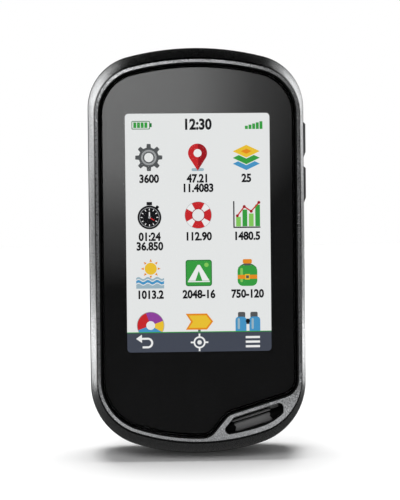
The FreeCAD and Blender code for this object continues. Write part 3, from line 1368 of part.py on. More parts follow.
def make_keys():
    out, bevel = WAIST.half + S["key_proud"], S["key_bevel"]
    for name, height, length in KEYS:
        low, high = height - length / 2, height + length / 2
        profile = [(KEY_INNER, low), (WAIST.half - S["fit_gap"], low),
                   (out, low + S["key_slope"]), (out, high - bevel), (out - bevel, high),
                   (KEY_INNER, high)]
        key = new_body(name + "_key")
        half = S["key_width"] / 2
        crest = pad(key, name + "_crest", KEY_DEPTH - half, KEY_DEPTH + half,
                    draw_polygon, profile)

        def outer_edge(edge):
            box = edge.BoundBox
            return (box.YLength < EXACT and box.XMax > WAIST.half.value
                    and box.ZLength > bevel.value / 2)

        dress(key, "Chamfer", name + "_bevel", crest, S["key_side_bevel"], outer_edge)
        wide = half + S["key_flange"]
        flange_x = KEY_INNER - S["key_flange_thick"]
        pad(key, name + "_flange", KEY_DEPTH - wide, KEY_DEPTH + wide, draw_polygon,
            [(flange_x, low - S["key_flange"]), (KEY_INNER, low - S["key_flange"]),
             (KEY_INNER, high + S["key_flange"]), (flange_x, high + S["key_flange"])])
        sub_part(name + "_button", key)


def make_key_board():
    low, high = KEY_BOARD_LOW, KEY_BOARD_HIGH
    width = S["key_board_width"]
    front = at_depth(KEY_DEPTH) - width / 2
    sub_part("key_board", block("key_board_sheet",
                                (KEY_BOARD - S["key_board_thick"], front, low),
                                (S["key_board_thick"], width, high - low)))
    switches = []
    side = S["switch_side"]
    for name, height, _ in KEYS:
        base = block(name + "_switch_base",
                     (KEY_BOARD, at_depth(KEY_DEPTH) - side / 2, height - side / 2),
                     (S["switch_height"], side, side))
        tip = rod(name + "_switch_tip", (SWITCH_TOP, at_depth(KEY_DEPTH), height), ALONG_X,
                  S["switch_tip"], TIP_END - SWITCH_TOP)
        switches.append(fuse(name + "_switch", [base, tip]))
    group("side_switches", switches)
    inner = KEY_BOARD - S["key_board_thick"]
    flat = at_depth(BOARD_BACK)
    bend = BOARD_WIDTH / 2 - S["flex_lap"]
    start = bend - S["flex_lap"]
    thick, end = S["flex_thick"], at_depth(KEY_DEPTH)
    points = [(start, flat), (bend, flat), (bend, end - thick), (inner, end - thick),
              (inner, end), (bend - thick, end), (bend - thick, flat + thick),
              (start, flat + thick)]
    tail = new_body("key_tail")
    strip = tail.newObject("PartDesign::Pad", "key_tail_strip")
    middle = (low + high) / 2
    strip.Profile = sketch_in(tail, "key_tail_profile", "level", middle - S["flex_width"] / 2,
                              draw_polygon, points)
    bind(strip, Length=S["flex_width"])
    sub_part("key_flex", tail)


# ---------------------------------------------------------------- make, check and write

for make in (make_ring, make_glass, make_display, make_front_housing, make_gasket,
             make_rear_housing, make_screws, make_batteries, make_contacts, make_cover,
             make_latch, make_d_ring, make_main_board, make_card, make_upper_board,
             make_camera, make_flash, make_vent, make_port, make_cap, make_keys,
             make_key_board):
    make()
doc.recompute()

faults = []
for item in doc.Objects:
    if any(state in ("Invalid", "Error") for state in item.State):
        faults.append("%s is %s" % (item.Name, item.State))
for label, item in SUB_PARTS:
    if item.Shape.isNull() or not item.Shape.isValid() or not item.Shape.Solids:
        faults.append("%s has no valid shape" % label)
if faults:
    raise RuntimeError("; ".join(faults))

os.makedirs("parts", exist_ok=True)
for label, item in SUB_PARTS:
    item.Shape.exportStep("parts/%s.step" % label)
print("wrote %d sub-parts" % len(SUB_PARTS))
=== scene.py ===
import json
from math import cos, pi, radians, sin, tau

import bpy
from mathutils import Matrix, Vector


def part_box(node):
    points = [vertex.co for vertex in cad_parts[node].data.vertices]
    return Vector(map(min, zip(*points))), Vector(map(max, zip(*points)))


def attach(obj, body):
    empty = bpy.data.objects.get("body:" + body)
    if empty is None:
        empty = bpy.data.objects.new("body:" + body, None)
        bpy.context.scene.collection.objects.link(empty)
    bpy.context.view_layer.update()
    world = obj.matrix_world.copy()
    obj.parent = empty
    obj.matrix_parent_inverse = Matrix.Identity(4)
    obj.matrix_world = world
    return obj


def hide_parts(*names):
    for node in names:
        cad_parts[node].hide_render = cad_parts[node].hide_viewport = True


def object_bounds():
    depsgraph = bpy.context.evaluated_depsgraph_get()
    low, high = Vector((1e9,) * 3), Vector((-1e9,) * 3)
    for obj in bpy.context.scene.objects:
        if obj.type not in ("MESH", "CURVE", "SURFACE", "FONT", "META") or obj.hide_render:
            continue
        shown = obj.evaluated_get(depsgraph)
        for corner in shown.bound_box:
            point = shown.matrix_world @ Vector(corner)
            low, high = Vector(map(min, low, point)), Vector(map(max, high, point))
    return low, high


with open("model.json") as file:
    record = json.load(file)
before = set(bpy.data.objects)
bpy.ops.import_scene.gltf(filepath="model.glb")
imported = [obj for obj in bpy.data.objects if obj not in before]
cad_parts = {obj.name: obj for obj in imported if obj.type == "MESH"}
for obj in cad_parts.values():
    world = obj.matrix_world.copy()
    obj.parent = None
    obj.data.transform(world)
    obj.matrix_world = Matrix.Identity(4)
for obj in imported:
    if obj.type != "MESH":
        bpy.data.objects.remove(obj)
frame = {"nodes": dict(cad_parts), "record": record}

CAD_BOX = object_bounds()
NODES = frame["nodes"]
MOUNTS = {mount["name"]: mount for mount in frame["record"]["mounts"]}
BACK = MOUNTS["back_face"]["pos_m"][1]
MM = 0.001

# --- the screen, in mm, measured from the middle of its window ---
WINDOW = (39.4, 65.0)
WINDOW_RAISE = 1.3
WINDOW_CORNER = 1.0
COLUMNS = (-13.3, 0.0, 13.3)
ROWS = (20.6, 4.8, -11.0, -25.2)
LABEL_DROP = 5.9
LABEL_SIZE = 3.05
LABEL_LEADING = 2.6
FIGURE_WIDTH = 0.88
STATUS_Z = 29.4
BAR_TOP = -27.1
TILE_THICK = 0.014
TILE_STEP = 0.02
TILE_GAP = 0.2                  # from the panel to the first layer of tiles
BAR_LAYER = 9
MARK_LAYER = 11
SCREEN_GLOW = 0.9

# --- the glass and its rim, in mm ---
PRINT_SINK = 0.05               # the print and the ink lie this far inside the glass
PRINT_THICK = 0.03
PRINT_SHRINK = (0.997, 1, 0.999)
EDGE_INK = 0.5
EDGE_SHRINK = (0.998, 1, 0.9985)
EDGE_BARE = 0.15                # front of the rolled edge, left without ink
LIP_WIDE = 0.37
LIP_DEEP = 0.35
LIP_PROUD = 0.01
RIM_HALF = (0.0302, 0.0572)     # in metres, from the rim's middle to its side and its top
RIM_ROLL = 0.3
RIM_SHADE_LINE = (0.0002, 0.00125)  # in metres, behind the rim's front face: a painted shade line between rim and band

# --- marks and grips that stand off the surfaces that carry them, in mm ---
RIB_PROUD = 0.35
RIB_SIZE = (5.6, 1.3)
RIB_SIDE = 14.6
RIB_LOW = 35.5
RIB_PITCH = 3.4
RIB_COUNT = 13
SKIN_THICK = 0.2
MARK_PROUD = 0.12
LINER_THICK = 0.12
SLOT_RISE = 17                  # in degrees
SLOT_HALF = (0.0102, 0.0034)    # in metres, just outside the slot's walls
GRIP_LOW = 31.0
GRIP_PITCH = 3.4
GRIP_RIB = 2.0
GRIP_COUNT = 15
GRIP_GAPS = (7, 8)              # beside the middle screws
GRIP_REACH = (0.0065, 0.0113)   # in metres, between the side and the flat back


# === modelling helpers ===

def select_only(piece):
    bpy.ops.object.select_all(action="DESELECT")
    piece.select_set(True)
    bpy.context.view_layer.objects.active = piece


def start_edit(piece, action="SELECT"):
    """Enters edit mode with all of the piece's mesh selected, or with none of it."""
    select_only(piece)
    bpy.ops.object.mode_set(mode="EDIT")
    bpy.ops.mesh.select_all(action=action)


def end_edit():
    bpy.ops.object.mode_set(mode="OBJECT")


def named(piece, name):
    piece.name = name
    piece.data.name = name
    return piece


def adjusted(target, **settings):
    """Sets the named properties of the target."""
    for setting, value in settings.items():
        setattr(target, setting, value)
    return target


def linked(name, data):
    """A new object with this data, in the scene."""
    piece = bpy.data.objects.new(name, data)
    bpy.context.scene.collection.objects.link(piece)
    return piece


def apply_place(piece):
    """Moves the object's place, turn and scale into its mesh."""
    select_only(piece)
    bpy.ops.object.transform_apply(location=True, rotation=True, scale=True)
    return piece


def added(name, primitive, **settings):
    """A new object from one of Blender's primitives."""
    bpy.ops.object.select_all(action="DESELECT")
    primitive(**settings)
    return named(bpy.context.object, name)


def add_disc(name, centre, radius, depth, sides=64):
    """A round solid, with its axis along Y."""
    return apply_place(added(name, bpy.ops.mesh.primitive_cylinder_add, vertices=sides, radius=radius,
                             depth=depth, location=centre, rotation=(pi / 2, 0, 0)))


def add_block(name, centre, size):
    return apply_place(added(name, bpy.ops.mesh.primitive_cube_add, size=1, location=centre,
                             scale=size))


def modified(piece, kind, **settings):
    """Applies one modifier to the piece."""
    modifier = adjusted(piece.modifiers.new("shaping", kind), **settings)
    select_only(piece)
    bpy.ops.object.modifier_apply(modifier=modifier.name)
    return piece


def round_edges(piece, width, segments=3):
    """Rounds every edge sharper than 40 degrees."""
    return modified(piece, "BEVEL", width=width, segments=segments, limit_method="ANGLE",
                    angle_limit=radians(40))


def cut_away(piece, tool):
    """Takes the tool's shape out of the piece, and the tool away."""
    modified(piece, "BOOLEAN", operation="DIFFERENCE", solver="EXACT", object=tool)
    bpy.data.objects.remove(tool)


def thickened(piece, thick, side=1.0):
    """Gives an open skin a wall on its outer side, or on its inner side for -1."""
    return modified(piece, "SOLIDIFY", thickness=thick, offset=side)


def tidy_mesh(piece):
    """Merges what coincides and turns every face outwards."""
    start_edit(piece)
    bpy.ops.mesh.remove_doubles(threshold=1e-6)
    bpy.ops.mesh.normals_make_consistent(inside=False)
    end_edit()
    return piece


def joined(name, pieces):
    """One object from several, closed and facing outwards."""
    bpy.ops.object.select_all(action="DESELECT")
    for piece in pieces:
        piece.select_set(True)
    bpy.context.view_layer.objects.active = pieces[0]
    if len(pieces) > 1:
        bpy.ops.object.join()
    return tidy_mesh(named(bpy.context.object, name))


def smooth(piece, angle=35):
    select_only(piece)
    bpy.ops.object.shade_smooth_by_angle(angle=radians(angle))
    return piece


def painted(piece, material):
    """The piece in one material, without any other."""
    piece.data.materials.clear()
    piece.data.materials.append(material)
    return piece


def copy_of(node, name):
    """A merged copy of a CAD node's mesh, to shape further."""
    piece = linked(name, NODES[node].data.copy())
    piece.data.name = name
    piece.data.materials.clear()
    return tidy_mesh(piece)


def pick_faces(piece, wanted):
    """Selects the faces that wanted(face) says, and enters edit mode on faces."""
    start_edit(piece, "DESELECT")
    bpy.ops.mesh.select_mode(type="FACE")
    end_edit()
    for face in piece.data.polygons:
        face.select = wanted(face)
    bpy.ops.object.mode_set(mode="EDIT")


def keep_faces(piece, wanted):
    pick_faces(piece, lambda face: not wanted(face))
    bpy.ops.mesh.delete(type="FACE")
    end_edit()


def step_in(piece, steps):
    """Insets the picked faces and moves them along Y, once for each (inset, move) in mm."""
    for inset, move in steps:
        bpy.ops.mesh.inset(thickness=inset * MM)
        bpy.ops.transform.translate(value=(0, move * MM, 0))
    end_edit()


def slice_across(piece, direction, places):
    """Cuts the mesh's faces at places along a direction, and keeps them all."""
    start_edit(piece)
    for place in places:
        bpy.ops.mesh.select_all(action="SELECT")
        bpy.ops.mesh.bisect(plane_co=[place * part for part in direction], plane_no=direction)
    end_edit()


def placed(piece, body, material=None, stands_for=()):
    """A finished piece: its material, the body that it rides on, and the CAD nodes that it stands for,
    hidden.
    """
    if material:
        painted(piece, material)
    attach(piece, body)
    if stands_for:
        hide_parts(*stands_for)


# === materials ===

def set_input(tree, socket, value):
    """Gives a socket its value, or joins it to the socket that feeds it."""
    if isinstance(value, bpy.types.NodeSocket):
        tree.links.new(value, socket)
    else:
        socket.default_value = value


def add_node(tree, kind, inputs=None, **settings):
    """A shader node. Each input is a value, or the socket that feeds it."""
    node = adjusted(tree.nodes.new("ShaderNode" + kind), **settings)
    for socket, value in (inputs or {}).items():
        set_input(tree, node.inputs[socket], value)
    return node


def add_ramp(tree, value, stops):
    """A colour for each share from 0 to 1, given as (share, (red, green, blue))."""
    node = add_node(tree, "ValToRGB", {"Fac": value})
    elements = node.color_ramp.elements
    while len(elements) < len(stops):
        elements.new(0.5)
    for element, (share, colour) in zip(elements, stops):
        element.position = share
        element.color = (*colour, 1)
    return node.outputs["Color"]


class Finish:
    """One material: its Principled shader, and the nodes that feed it from Object coordinates."""

    def __init__(self, name, **constants):
        self.material = bpy.data.materials.new(name)
        self.material.use_nodes = True
        self.tree = self.material.node_tree
        self.shader = self.tree.nodes["Principled BSDF"]
        for socket, value in constants.items():
            self.shader.inputs[socket.replace("_", " ")].default_value = value
        self.place = self.node("TexCoord")["Object"]

    def done(self, colour, rough=None, normal=None, metal=None):
        """The material, once its shader is fed with what is given."""
        for socket, value in (("Base Color", colour), ("Roughness", rough), ("Normal", normal),
                              ("Metallic", metal)):
            if value:
                self.tree.links.new(value, self.shader.inputs[socket])
        return self.material

    def node(self, kind, inputs=None, **settings):
        return add_node(self.tree, kind, inputs, **settings).outputs

    def vectors(self, operation, first, second=(0, 0, 0), **scale):
        node = self.node("VectorMath", {0: first, 1: second, **scale}, operation=operation)
        return node["Value" if operation in ("DOT_PRODUCT", "LENGTH") else "Vector"]

    def stretched(self, scale, centre=(0, 0, 0), turn=(0, 0, 0)):
        """Coordinates with their zero at the centre, then stretched."""
        shifted = self.vectors("SUBTRACT", self.place, centre)
        inputs = {"Vector": shifted, "Scale": scale, "Rotation": turn}
        return self.node("Mapping", inputs)["Vector"]

    def noise(self, size, detail=2.0, vector=None):
        """Soft noise whose lumps are about size across, in metres."""
        inputs = {"Vector": vector or self.place, "Scale": 1 / size, "Detail": detail}
        return self.node("TexNoise", inputs)["Fac"]

    def cells(self, size, output="Distance"):
        return self.node("TexVoronoi", {"Vector": self.place, "Scale": 1 / size})[output]

    def grid(self, scale, gap, colours, **settings):
        """Bricks in two colours as seen from the front, with a third colour in the gaps."""
        inputs = {"Vector": self.stretched((1, 1, 1), turn=(pi / 2, 0, 0)), "Scale": scale,
                  "Mortar Size": gap}
        for socket, colour in zip(("Color1", "Color2", "Mortar"), colours):
            inputs[socket] = (*colour, 1)
        return self.node("TexBrick", inputs, **settings)

    def ramp(self, value, *stops):
        return add_ramp(self.tree, value, stops)

    def tones(self, value, dark, light, low=0.3, high=0.7):
        """Dark where the value is low, light where it is high."""
        return self.ramp(value, (low, dark), (high, light))

    def spread(self, value, low, high, start=0.0, end=1.0):
        """Value from start to end becomes low to high, and stays inside them."""
        inputs = {"Value": value, "From Min": start, "From Max": end, "To Min": low, "To Max": high}
        return self.node("MapRange", inputs)["Result"]

    def blended(self, share, first, second):
        """First where share is 0, second where it is 1. Either may be a colour or a socket."""
        node = add_node(self.tree, "Mix", data_type="RGBA")
        for socket, value in (("Factor", share), ("A", first), ("B", second)):
            target = [s for s in node.inputs if s.name == socket and s.enabled][0]
            set_input(self.tree, target, (*value, 1) if isinstance(value, tuple) else value)
        return [s for s in node.outputs if s.enabled][0]

    def maths(self, operation, first, second=0.0):
        return self.node("Math", {0: first, 1: second}, operation=operation)[0]

    def product(self, first, *others):
        for other in others:
            first = self.maths("MULTIPLY", first, other)
        return first

    def apart(self, value, other):
        """How far two values are from each other, either way."""
        return self.maths("ABSOLUTE", self.maths("SUBTRACT", value, other))

    def axis(self, name):
        """One coordinate of the place, in metres."""
        return self.node("SeparateXYZ", {"Vector": self.place})[name]

    def within(self, value, low, high, soft=0.00004):
        """1 between low and high, 0 outside, with a soft edge."""
        return self.product(self.spread(value, 0.0, 1.0, low - soft, low + soft),
                            self.spread(value, 1.0, 0.0, high - soft, high + soft))

    def bump(self, height, strength, distance):
        inputs = {"Height": height, "Strength": strength, "Distance": distance}
        return self.node("Bump", inputs)["Normal"]


def two_tone(name, size, dark, light, rough=None, detail=2.0, high=0.7, bump=None, **constants):
    """A finish that drifts between two colours, and is as rough and bumpy as the same noise."""
    finish = Finish(name, **constants)
    drift = finish.noise(size, detail)
    return finish.done(finish.tones(drift, dark, light, high=high),
                       rough and finish.spread(drift, *rough), bump and finish.bump(drift, *bump))


def speckled_paint():
    """Gun-metal paint: fine metal flakes, each a little turned, under a smooth lacquer.
    It thickens to a soft roll along the rim, which turns the front face outwards."""
    paint = Finish("speckled_gunmetal_paint", Metallic=1.0)
    flake = paint.cells(0.00016, "Color")
    tone = paint.node("SeparateColor", {"Color": flake})["Red"]
    flakes = paint.ramp(tone, (0.0, (0.25, 0.253, 0.258)), (0.5, (0.31, 0.315, 0.32)),
                        (0.85, (0.38, 0.385, 0.395)), (1.0, (0.56, 0.57, 0.58)))
    colour = paint.blended(paint.spread(paint.noise(0.012), 0.0, 0.18), flakes, (0.36, 0.364, 0.37))
    # A near-black band just behind the rim's front face is painted shade, standing for the shadow of a
    # groove between rim and band.
    start, end = [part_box("bezel_ring")[0].y + depth for depth in RIM_SHADE_LINE]
    shade_line = paint.within(paint.axis("Y"), start, end, 0.0001)
    lean = paint.vectors("SCALE", paint.vectors("SUBTRACT", flake, (0.5, 0.5, 0.5)), Scale=0.26)
    face = paint.node("NewGeometry")["Normal"]
    from_middle = paint.stretched((1 / RIM_HALF[0], 0, 1 / RIM_HALF[1]), centre=(0, 0, RIM_HALF[1]))
    square = paint.vectors("MULTIPLY", from_middle, from_middle)
    outward = paint.vectors("MULTIPLY", square, from_middle)
    facing = paint.vectors("DOT_PRODUCT", face, (0, -1, 0))
    roll = paint.maths("MULTIPLY", paint.maths("GREATER_THAN", facing, 0.97), RIM_ROLL)
    lean = paint.vectors("ADD", lean, paint.vectors("SCALE", outward, Scale=roll))
    return paint.done(paint.blended(shade_line, colour, (0.012, 0.012, 0.013)),
                      paint.spread(tone, 0.34, 0.24),
                      paint.vectors("NORMALIZE", paint.vectors("ADD", face, lean)))


def grained_plastic(name, dark, light, rough, grain=0.00035, strength=0.35):
    """Moulded plastic with a fine spark-eroded grain."""
    plastic = Finish(name)
    height = plastic.product(plastic.cells(grain), plastic.noise(grain * 2, 3.0))
    return plastic.done(plastic.tones(plastic.noise(0.02, 3.0), dark, light),
                        plastic.spread(plastic.noise(0.0015), rough - 0.06, rough + 0.06),
                        plastic.bump(height, strength, 0.00006))


def soft_rubber(name, dark, light, rough, strength=0.25, printed=None):
    """Matt rubber, with pale ink where the share that printed(rubber) gives is 1."""
    rubber = Finish(name, Sheen_Weight=0.08, Sheen_Roughness=0.5)
    colour = rubber.tones(rubber.noise(0.006, 3.0), dark, light, high=0.75)
    if printed:
        colour = rubber.blended(printed(rubber), colour, (0.42, 0.43, 0.44))
    return rubber.done(colour, rubber.spread(rubber.noise(0.0008), *rough),
                       rubber.bump(rubber.noise(0.00025, 4.0), strength, 0.00005))


def worn_metal(name, dark, light, rough, along=(1, 1, 1)):
    """Bare or plated metal with fine lines from rolling or turning."""
    metal = Finish(name, Metallic=1.0)
    lines = metal.noise(0.0004, 4.0, metal.stretched(along))
    stain = metal.spread(metal.noise(0.004, 3.0), 0.0, 0.5)
    return metal.done(metal.blended(stain, metal.tones(lines, dark, light), dark),
                      metal.spread(lines, rough - 0.07, rough + 0.09),
                      metal.bump(lines, 0.15, 0.00003))


def circuit_board():
    """Green solder mask over copper tracks, with tinned pads."""
    board = Finish("green_solder_mask")
    tracks = board.grid(260.0, 0.05, ((0.01, 0.10, 0.045), (0.012, 0.12, 0.05), (0.03, 0.20, 0.09)))
    pads = board.ramp(board.cells(0.0024), (0.0, (1, 1, 1)), (0.14, (1, 1, 1)), (0.17, (0, 0, 0)))
    return board.done(board.blended(pads, tracks["Color"], (0.55, 0.56, 0.55)),
                      board.spread(pads, 0.35, 0.3), board.bump(tracks["Fac"], 0.3, 0.00004), pads)


def glazed_ceramic():
    """Buff ceramic with a silver patch printed on its front."""
    ceramic = Finish("patch_antenna_ceramic")
    low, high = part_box("gps_antenna")
    margin, thin = 0.0025, 0.0001
    patch = ceramic.product(
        ceramic.within(ceramic.axis("X"), low.x + margin, high.x - margin),
        ceramic.within(ceramic.axis("Z"), low.z + margin - thin, high.z - margin),
        ceramic.within(ceramic.axis("Y"), low.y - thin, low.y + thin))
    grain = ceramic.noise(0.0004, 4.0)
    body = ceramic.tones(grain, (0.46, 0.37, 0.25), (0.56, 0.47, 0.34))
    return ceramic.done(ceramic.blended(patch, body, (0.72, 0.71, 0.68)),
                        ceramic.spread(grain, 0.35, 0.5), metal=patch)


def amber_film():
    """Polyimide film with copper tracks under it."""
    film = Finish("amber_flex_film")
    inputs = {"Vector": film.place, "Scale": 420.0, "Distortion": 0.4}
    tracks = film.node("TexWave", inputs)["Fac"]
    return film.done(film.tones(tracks, (0.42, 0.14, 0.015), (0.62, 0.27, 0.05), 0.35, 0.65),
                     film.spread(tracks, 0.3, 0.42))


def woven_vent():
    """The fine breathable mesh behind the vent holes."""
    mesh = Finish("vent_mesh")
    threads = mesh.product(*[
        mesh.node("TexWave", {"Vector": mesh.place, "Scale": 900.0},
                  bands_direction=way)["Fac"] for way in ("X", "Z")])
    return mesh.done(mesh.tones(threads, (0.03, 0.03, 0.03), (0.22, 0.22, 0.21), 0.1, 0.6),
                     mesh.spread(threads, 0.7, 0.85), mesh.bump(threads, 0.5, 0.00005))


def cell_sleeve(node, plus_up):
    """A cell's printed sleeve: slate body, pale band and plus sign at the plus end, bare ends."""
    cell = Finish("sleeve_" + node)
    low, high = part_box(node)
    middle = (low + high) / 2
    end, way = (high.z, -1) if plus_up else (low.z, 1)
    from_end = cell.product(cell.maths("SUBTRACT", cell.axis("Z"), end), way)
    bare_ends = cell.maths("SUBTRACT", 1.0, cell.within(from_end, 0.0018, 0.0496))
    stripe = cell.within(from_end, 0.0018, 0.0135)
    line = cell.within(from_end, 0.0142, 0.0148)
    across = cell.apart(cell.axis("X"), middle.x)
    back = cell.within(cell.axis("Y"), middle.y, high.y + 0.001)

    def bar(long_way, short_way):
        return cell.product(cell.within(long_way, -1, 0.0020), cell.within(short_way, -1, 0.0005))
    along = cell.apart(from_end, 0.0078)
    plus = cell.product(cell.maths("MAXIMUM", bar(across, along), bar(along, across)), back)
    minus = cell.product(bar(across, cell.apart(from_end, 0.0435)), back)
    drift = cell.noise(0.004, 3.0)
    body = cell.tones(drift, (0.030, 0.075, 0.11), (0.042, 0.098, 0.14))
    pale = cell.tones(drift, (0.50, 0.52, 0.52), (0.60, 0.62, 0.62))
    colour = cell.blended(cell.maths("MAXIMUM", stripe, line), body, pale)
    for mark, ink in ((minus, (0.60, 0.62, 0.62)), (plus, (0.45, 0.03, 0.03)),
                      (bare_ends, (0.66, 0.65, 0.62))):
        colour = cell.blended(mark, colour, ink)
    return cell.done(colour, cell.spread(drift, 0.24, 0.36), metal=bare_ends)


def power_sign(key):
    """A ring with a gap and a stem, on the outer face of the power key."""
    low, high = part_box("power_button")
    middle = (low + high) / 2
    over = key.maths("SUBTRACT", key.axis("Y"), middle.y)
    up = key.maths("SUBTRACT", key.axis("Z"), middle.z)
    reach = key.maths("SQRT", key.maths("ADD", key.product(over, over), key.product(up, up)))
    width = key.maths("ABSOLUTE", over)
    ring = key.within(reach, 0.00082, 0.00108)
    gap = key.product(key.within(width, -1, 0.00042), key.within(up, 0.0, 1))
    stem = key.product(key.within(width, -1, 0.00013), key.within(up, 0.0, 0.00125))
    sign = key.maths("MAXIMUM", key.product(ring, key.maths("SUBTRACT", 1.0, gap)), stem)
    return key.product(sign, key.within(key.axis("X"), high.x - 0.0003, high.x + 0.0003))


def phosphor():
    """A yellow light chip on its white carrier."""
    chip = Finish("flash_phosphor")
    low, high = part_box("flash_led")
    middle = (low + high) / 2
    inside = chip.product(chip.within(chip.axis("X"), middle.x - 0.001, middle.x + 0.001),
                          chip.within(chip.axis("Z"), middle.z - 0.001, middle.z + 0.001))
    grain = chip.noise(0.0003, 3.0)
    yellow = chip.tones(grain, (0.80, 0.60, 0.06), (0.86, 0.70, 0.12))
    return chip.done(chip.blended(inside, (0.75, 0.75, 0.73), yellow), chip.spread(grain, 0.45, 0.6))


def coated_lens():
    """The camera's front element, dark under a violet and green coating."""
    lens = Finish("coated_camera_lens", Coat_Weight=1.0, Coat_Roughness=0.02)
    low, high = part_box("camera_module")
    reach = lens.vectors("LENGTH", lens.stretched((1, 0, 1), centre=(low + high) / 2))
    tint = lens.ramp(lens.spread(reach, 0.0, 1.0, 0.0, 0.0024),
                     (0.0, (0.002, 0.002, 0.004)), (0.45, (0.006, 0.004, 0.02)),
                     (0.75, (0.01, 0.02, 0.03)), (1.0, (0.004, 0.006, 0.006)))
    return lens.done(tint, lens.spread(lens.noise(0.001), 0.03, 0.08))


def lit_ink(name, colour):
    """A colour that the screen gives off, over its dark grid of dots."""
    lit = Finish("screen_" + name, Emission_Color=(*colour, 1), Emission_Strength=SCREEN_GLOW,
                 Specular_IOR_Level=0.0)
    dots = lit.grid(4200.0, 0.1, ((0.006,) * 3, (0.009,) * 3, (0.002,) * 3), offset=0.0)
    return lit.done(dots["Color"], lit.spread(lit.noise(0.002), 0.5, 0.65))


PAINT = speckled_paint()
GLASS = two_tone("coated_clear_glass", 0.03, (0.975, 0.985, 0.98), (0.985, 0.99, 0.99), detail=3.0,
                 Roughness=0.0, IOR=1.05, Transmission_Weight=1.0)
INK = two_tone("black_glass_print", 0.01, (0.002, 0.002, 0.0022), (0.004, 0.004, 0.0045),
               (0.02, 0.05), Specular_IOR_Level=0.61)
# Near-black, far darker than real plastic: black ink and seal round the glass, and painted shade inside
# the strap slot.
SEAL_INK_AND_SHADE_BLACK = two_tone("seal_ink_and_slot_shade_black", 0.004, (0.0015, 0.0015, 0.0016),
                      (0.003, 0.003, 0.0031), Roughness=0.8, Specular_IOR_Level=0.15)
CHIP = two_tone("black_epoxy_package", 0.0007, (0.012, 0.012, 0.013), (0.03, 0.03, 0.032),
                (0.45, 0.6), 5.0, 0.8, (0.2, 0.00003))
MILK = two_tone("milky_white_plastic", 0.003, (0.70, 0.71, 0.70), (0.80, 0.80, 0.79), (0.4, 0.55),
                3.0, Subsurface_Weight=0.1, Subsurface_Scale=0.001)
PANEL = two_tone("display_polariser", 0.002, (0.02, 0.022, 0.025), (0.03, 0.032, 0.036),
                 (0.25, 0.35), 3.0)
LENS_PLASTIC = two_tone("clear_lens_plastic", 0.002, (0.93, 0.94, 0.93), (0.97, 0.97, 0.96),
                        IOR=1.49, Transmission_Weight=1.0, Roughness=0.08)
MARK_INK = two_tone("pale_mark_ink", 0.0006, (0.30, 0.30, 0.30), (0.38, 0.38, 0.385), (0.5, 0.65),
                    4.0, 0.6)
DARK_HOUSING = grained_plastic("charcoal_housing_plastic", (0.016, 0.0165, 0.018),
                               (0.026, 0.027, 0.029), 0.52, 0.0005, 0.6)
PAD_PLASTIC = grained_plastic("satin_pad_plastic", (0.17, 0.17, 0.172), (0.20, 0.20, 0.202),
                              0.42, strength=0.15)
RUBBER = soft_rubber("gasket_rubber", (0.012, 0.012, 0.013), (0.03, 0.03, 0.032), (0.65, 0.77))
KEY_RUBBER = soft_rubber("key_and_cap_rubber", (0.014, 0.014, 0.015), (0.028, 0.028, 0.030),
                         (0.53, 0.65))
POWER_RUBBER = soft_rubber("power_key_rubber", (0.014, 0.014, 0.015), (0.026, 0.026, 0.028),
                           (0.5, 0.62), 0.2, power_sign)
GRIP_RUBBER = soft_rubber("grip_rubber", (0.010, 0.010, 0.011), (0.020, 0.020, 0.021), (0.67, 0.79))
SCREW_STEEL = worn_metal("dark_plated_screw", (0.16, 0.16, 0.165), (0.30, 0.30, 0.305), 0.32)
SHEET_STEEL = worn_metal("tinned_sheet_steel", (0.42, 0.42, 0.41), (0.62, 0.62, 0.60), 0.32,
                         (1, 1, 12))
SPRING_STEEL = worn_metal("nickel_spring_steel", (0.50, 0.47, 0.41), (0.72, 0.69, 0.62), 0.25)
SATIN_METAL = worn_metal("satin_latch_metal", (0.30, 0.30, 0.31), (0.52, 0.52, 0.53), 0.30)
COATED_LENS = coated_lens()

CAD_FINISHES = (
    (PAINT, ("bezel_ring", "camera_ring")),
    (GLASS, ("cover_glass", "camera_window")),
    (PANEL, ("display_panel", "touch_sensor")),
    (MILK, ("backlight_unit",)),
    (LENS_PLASTIC, ("flash_lens",)),
    (phosphor(), ("flash_led",)),
    (glazed_ceramic(), ("gps_antenna",)),
    (woven_vent(), ("vent_membrane",)),
    (cell_sleeve("battery_left", True), ("battery_left",)),
    (cell_sleeve("battery_right", False), ("battery_right",)),
    # Near-black front housing: painted shade where it shows inside the strap slot.
    (SEAL_INK_AND_SHADE_BLACK, ("front_housing",)),
    (DARK_HOUSING, ("rear_housing", "battery_cover")),
    (RUBBER, ("glass_adhesive", "main_gasket", "cover_seal", "latch_seal")),
    (KEY_RUBBER, ("user_button", "usb_cap")),
    (POWER_RUBBER, ("power_button",)),
    (SCREW_STEEL, ("housing_screws", "board_screws")),
    (SHEET_STEEL, ("display_bracket", "shield_cans", "card_socket", "usb_port")),
    (SPRING_STEEL, ("battery_springs", "contact_plates")),
    (SATIN_METAL, ("latch_stud", "latch_bar", "d_ring")),
    (circuit_board(), ("main_board", "upper_board", "key_board")),
    (amber_film(), ("display_flex", "upper_flex", "key_flex")),
    (CHIP, ("board_chips", "piezo_buzzer", "memory_card", "camera_module", "side_switches")),
)


def finish_cad_nodes():
    for material, nodes in CAD_FINISHES:
        for node in nodes:
            painted(NODES[node], material)


# === the screen ===

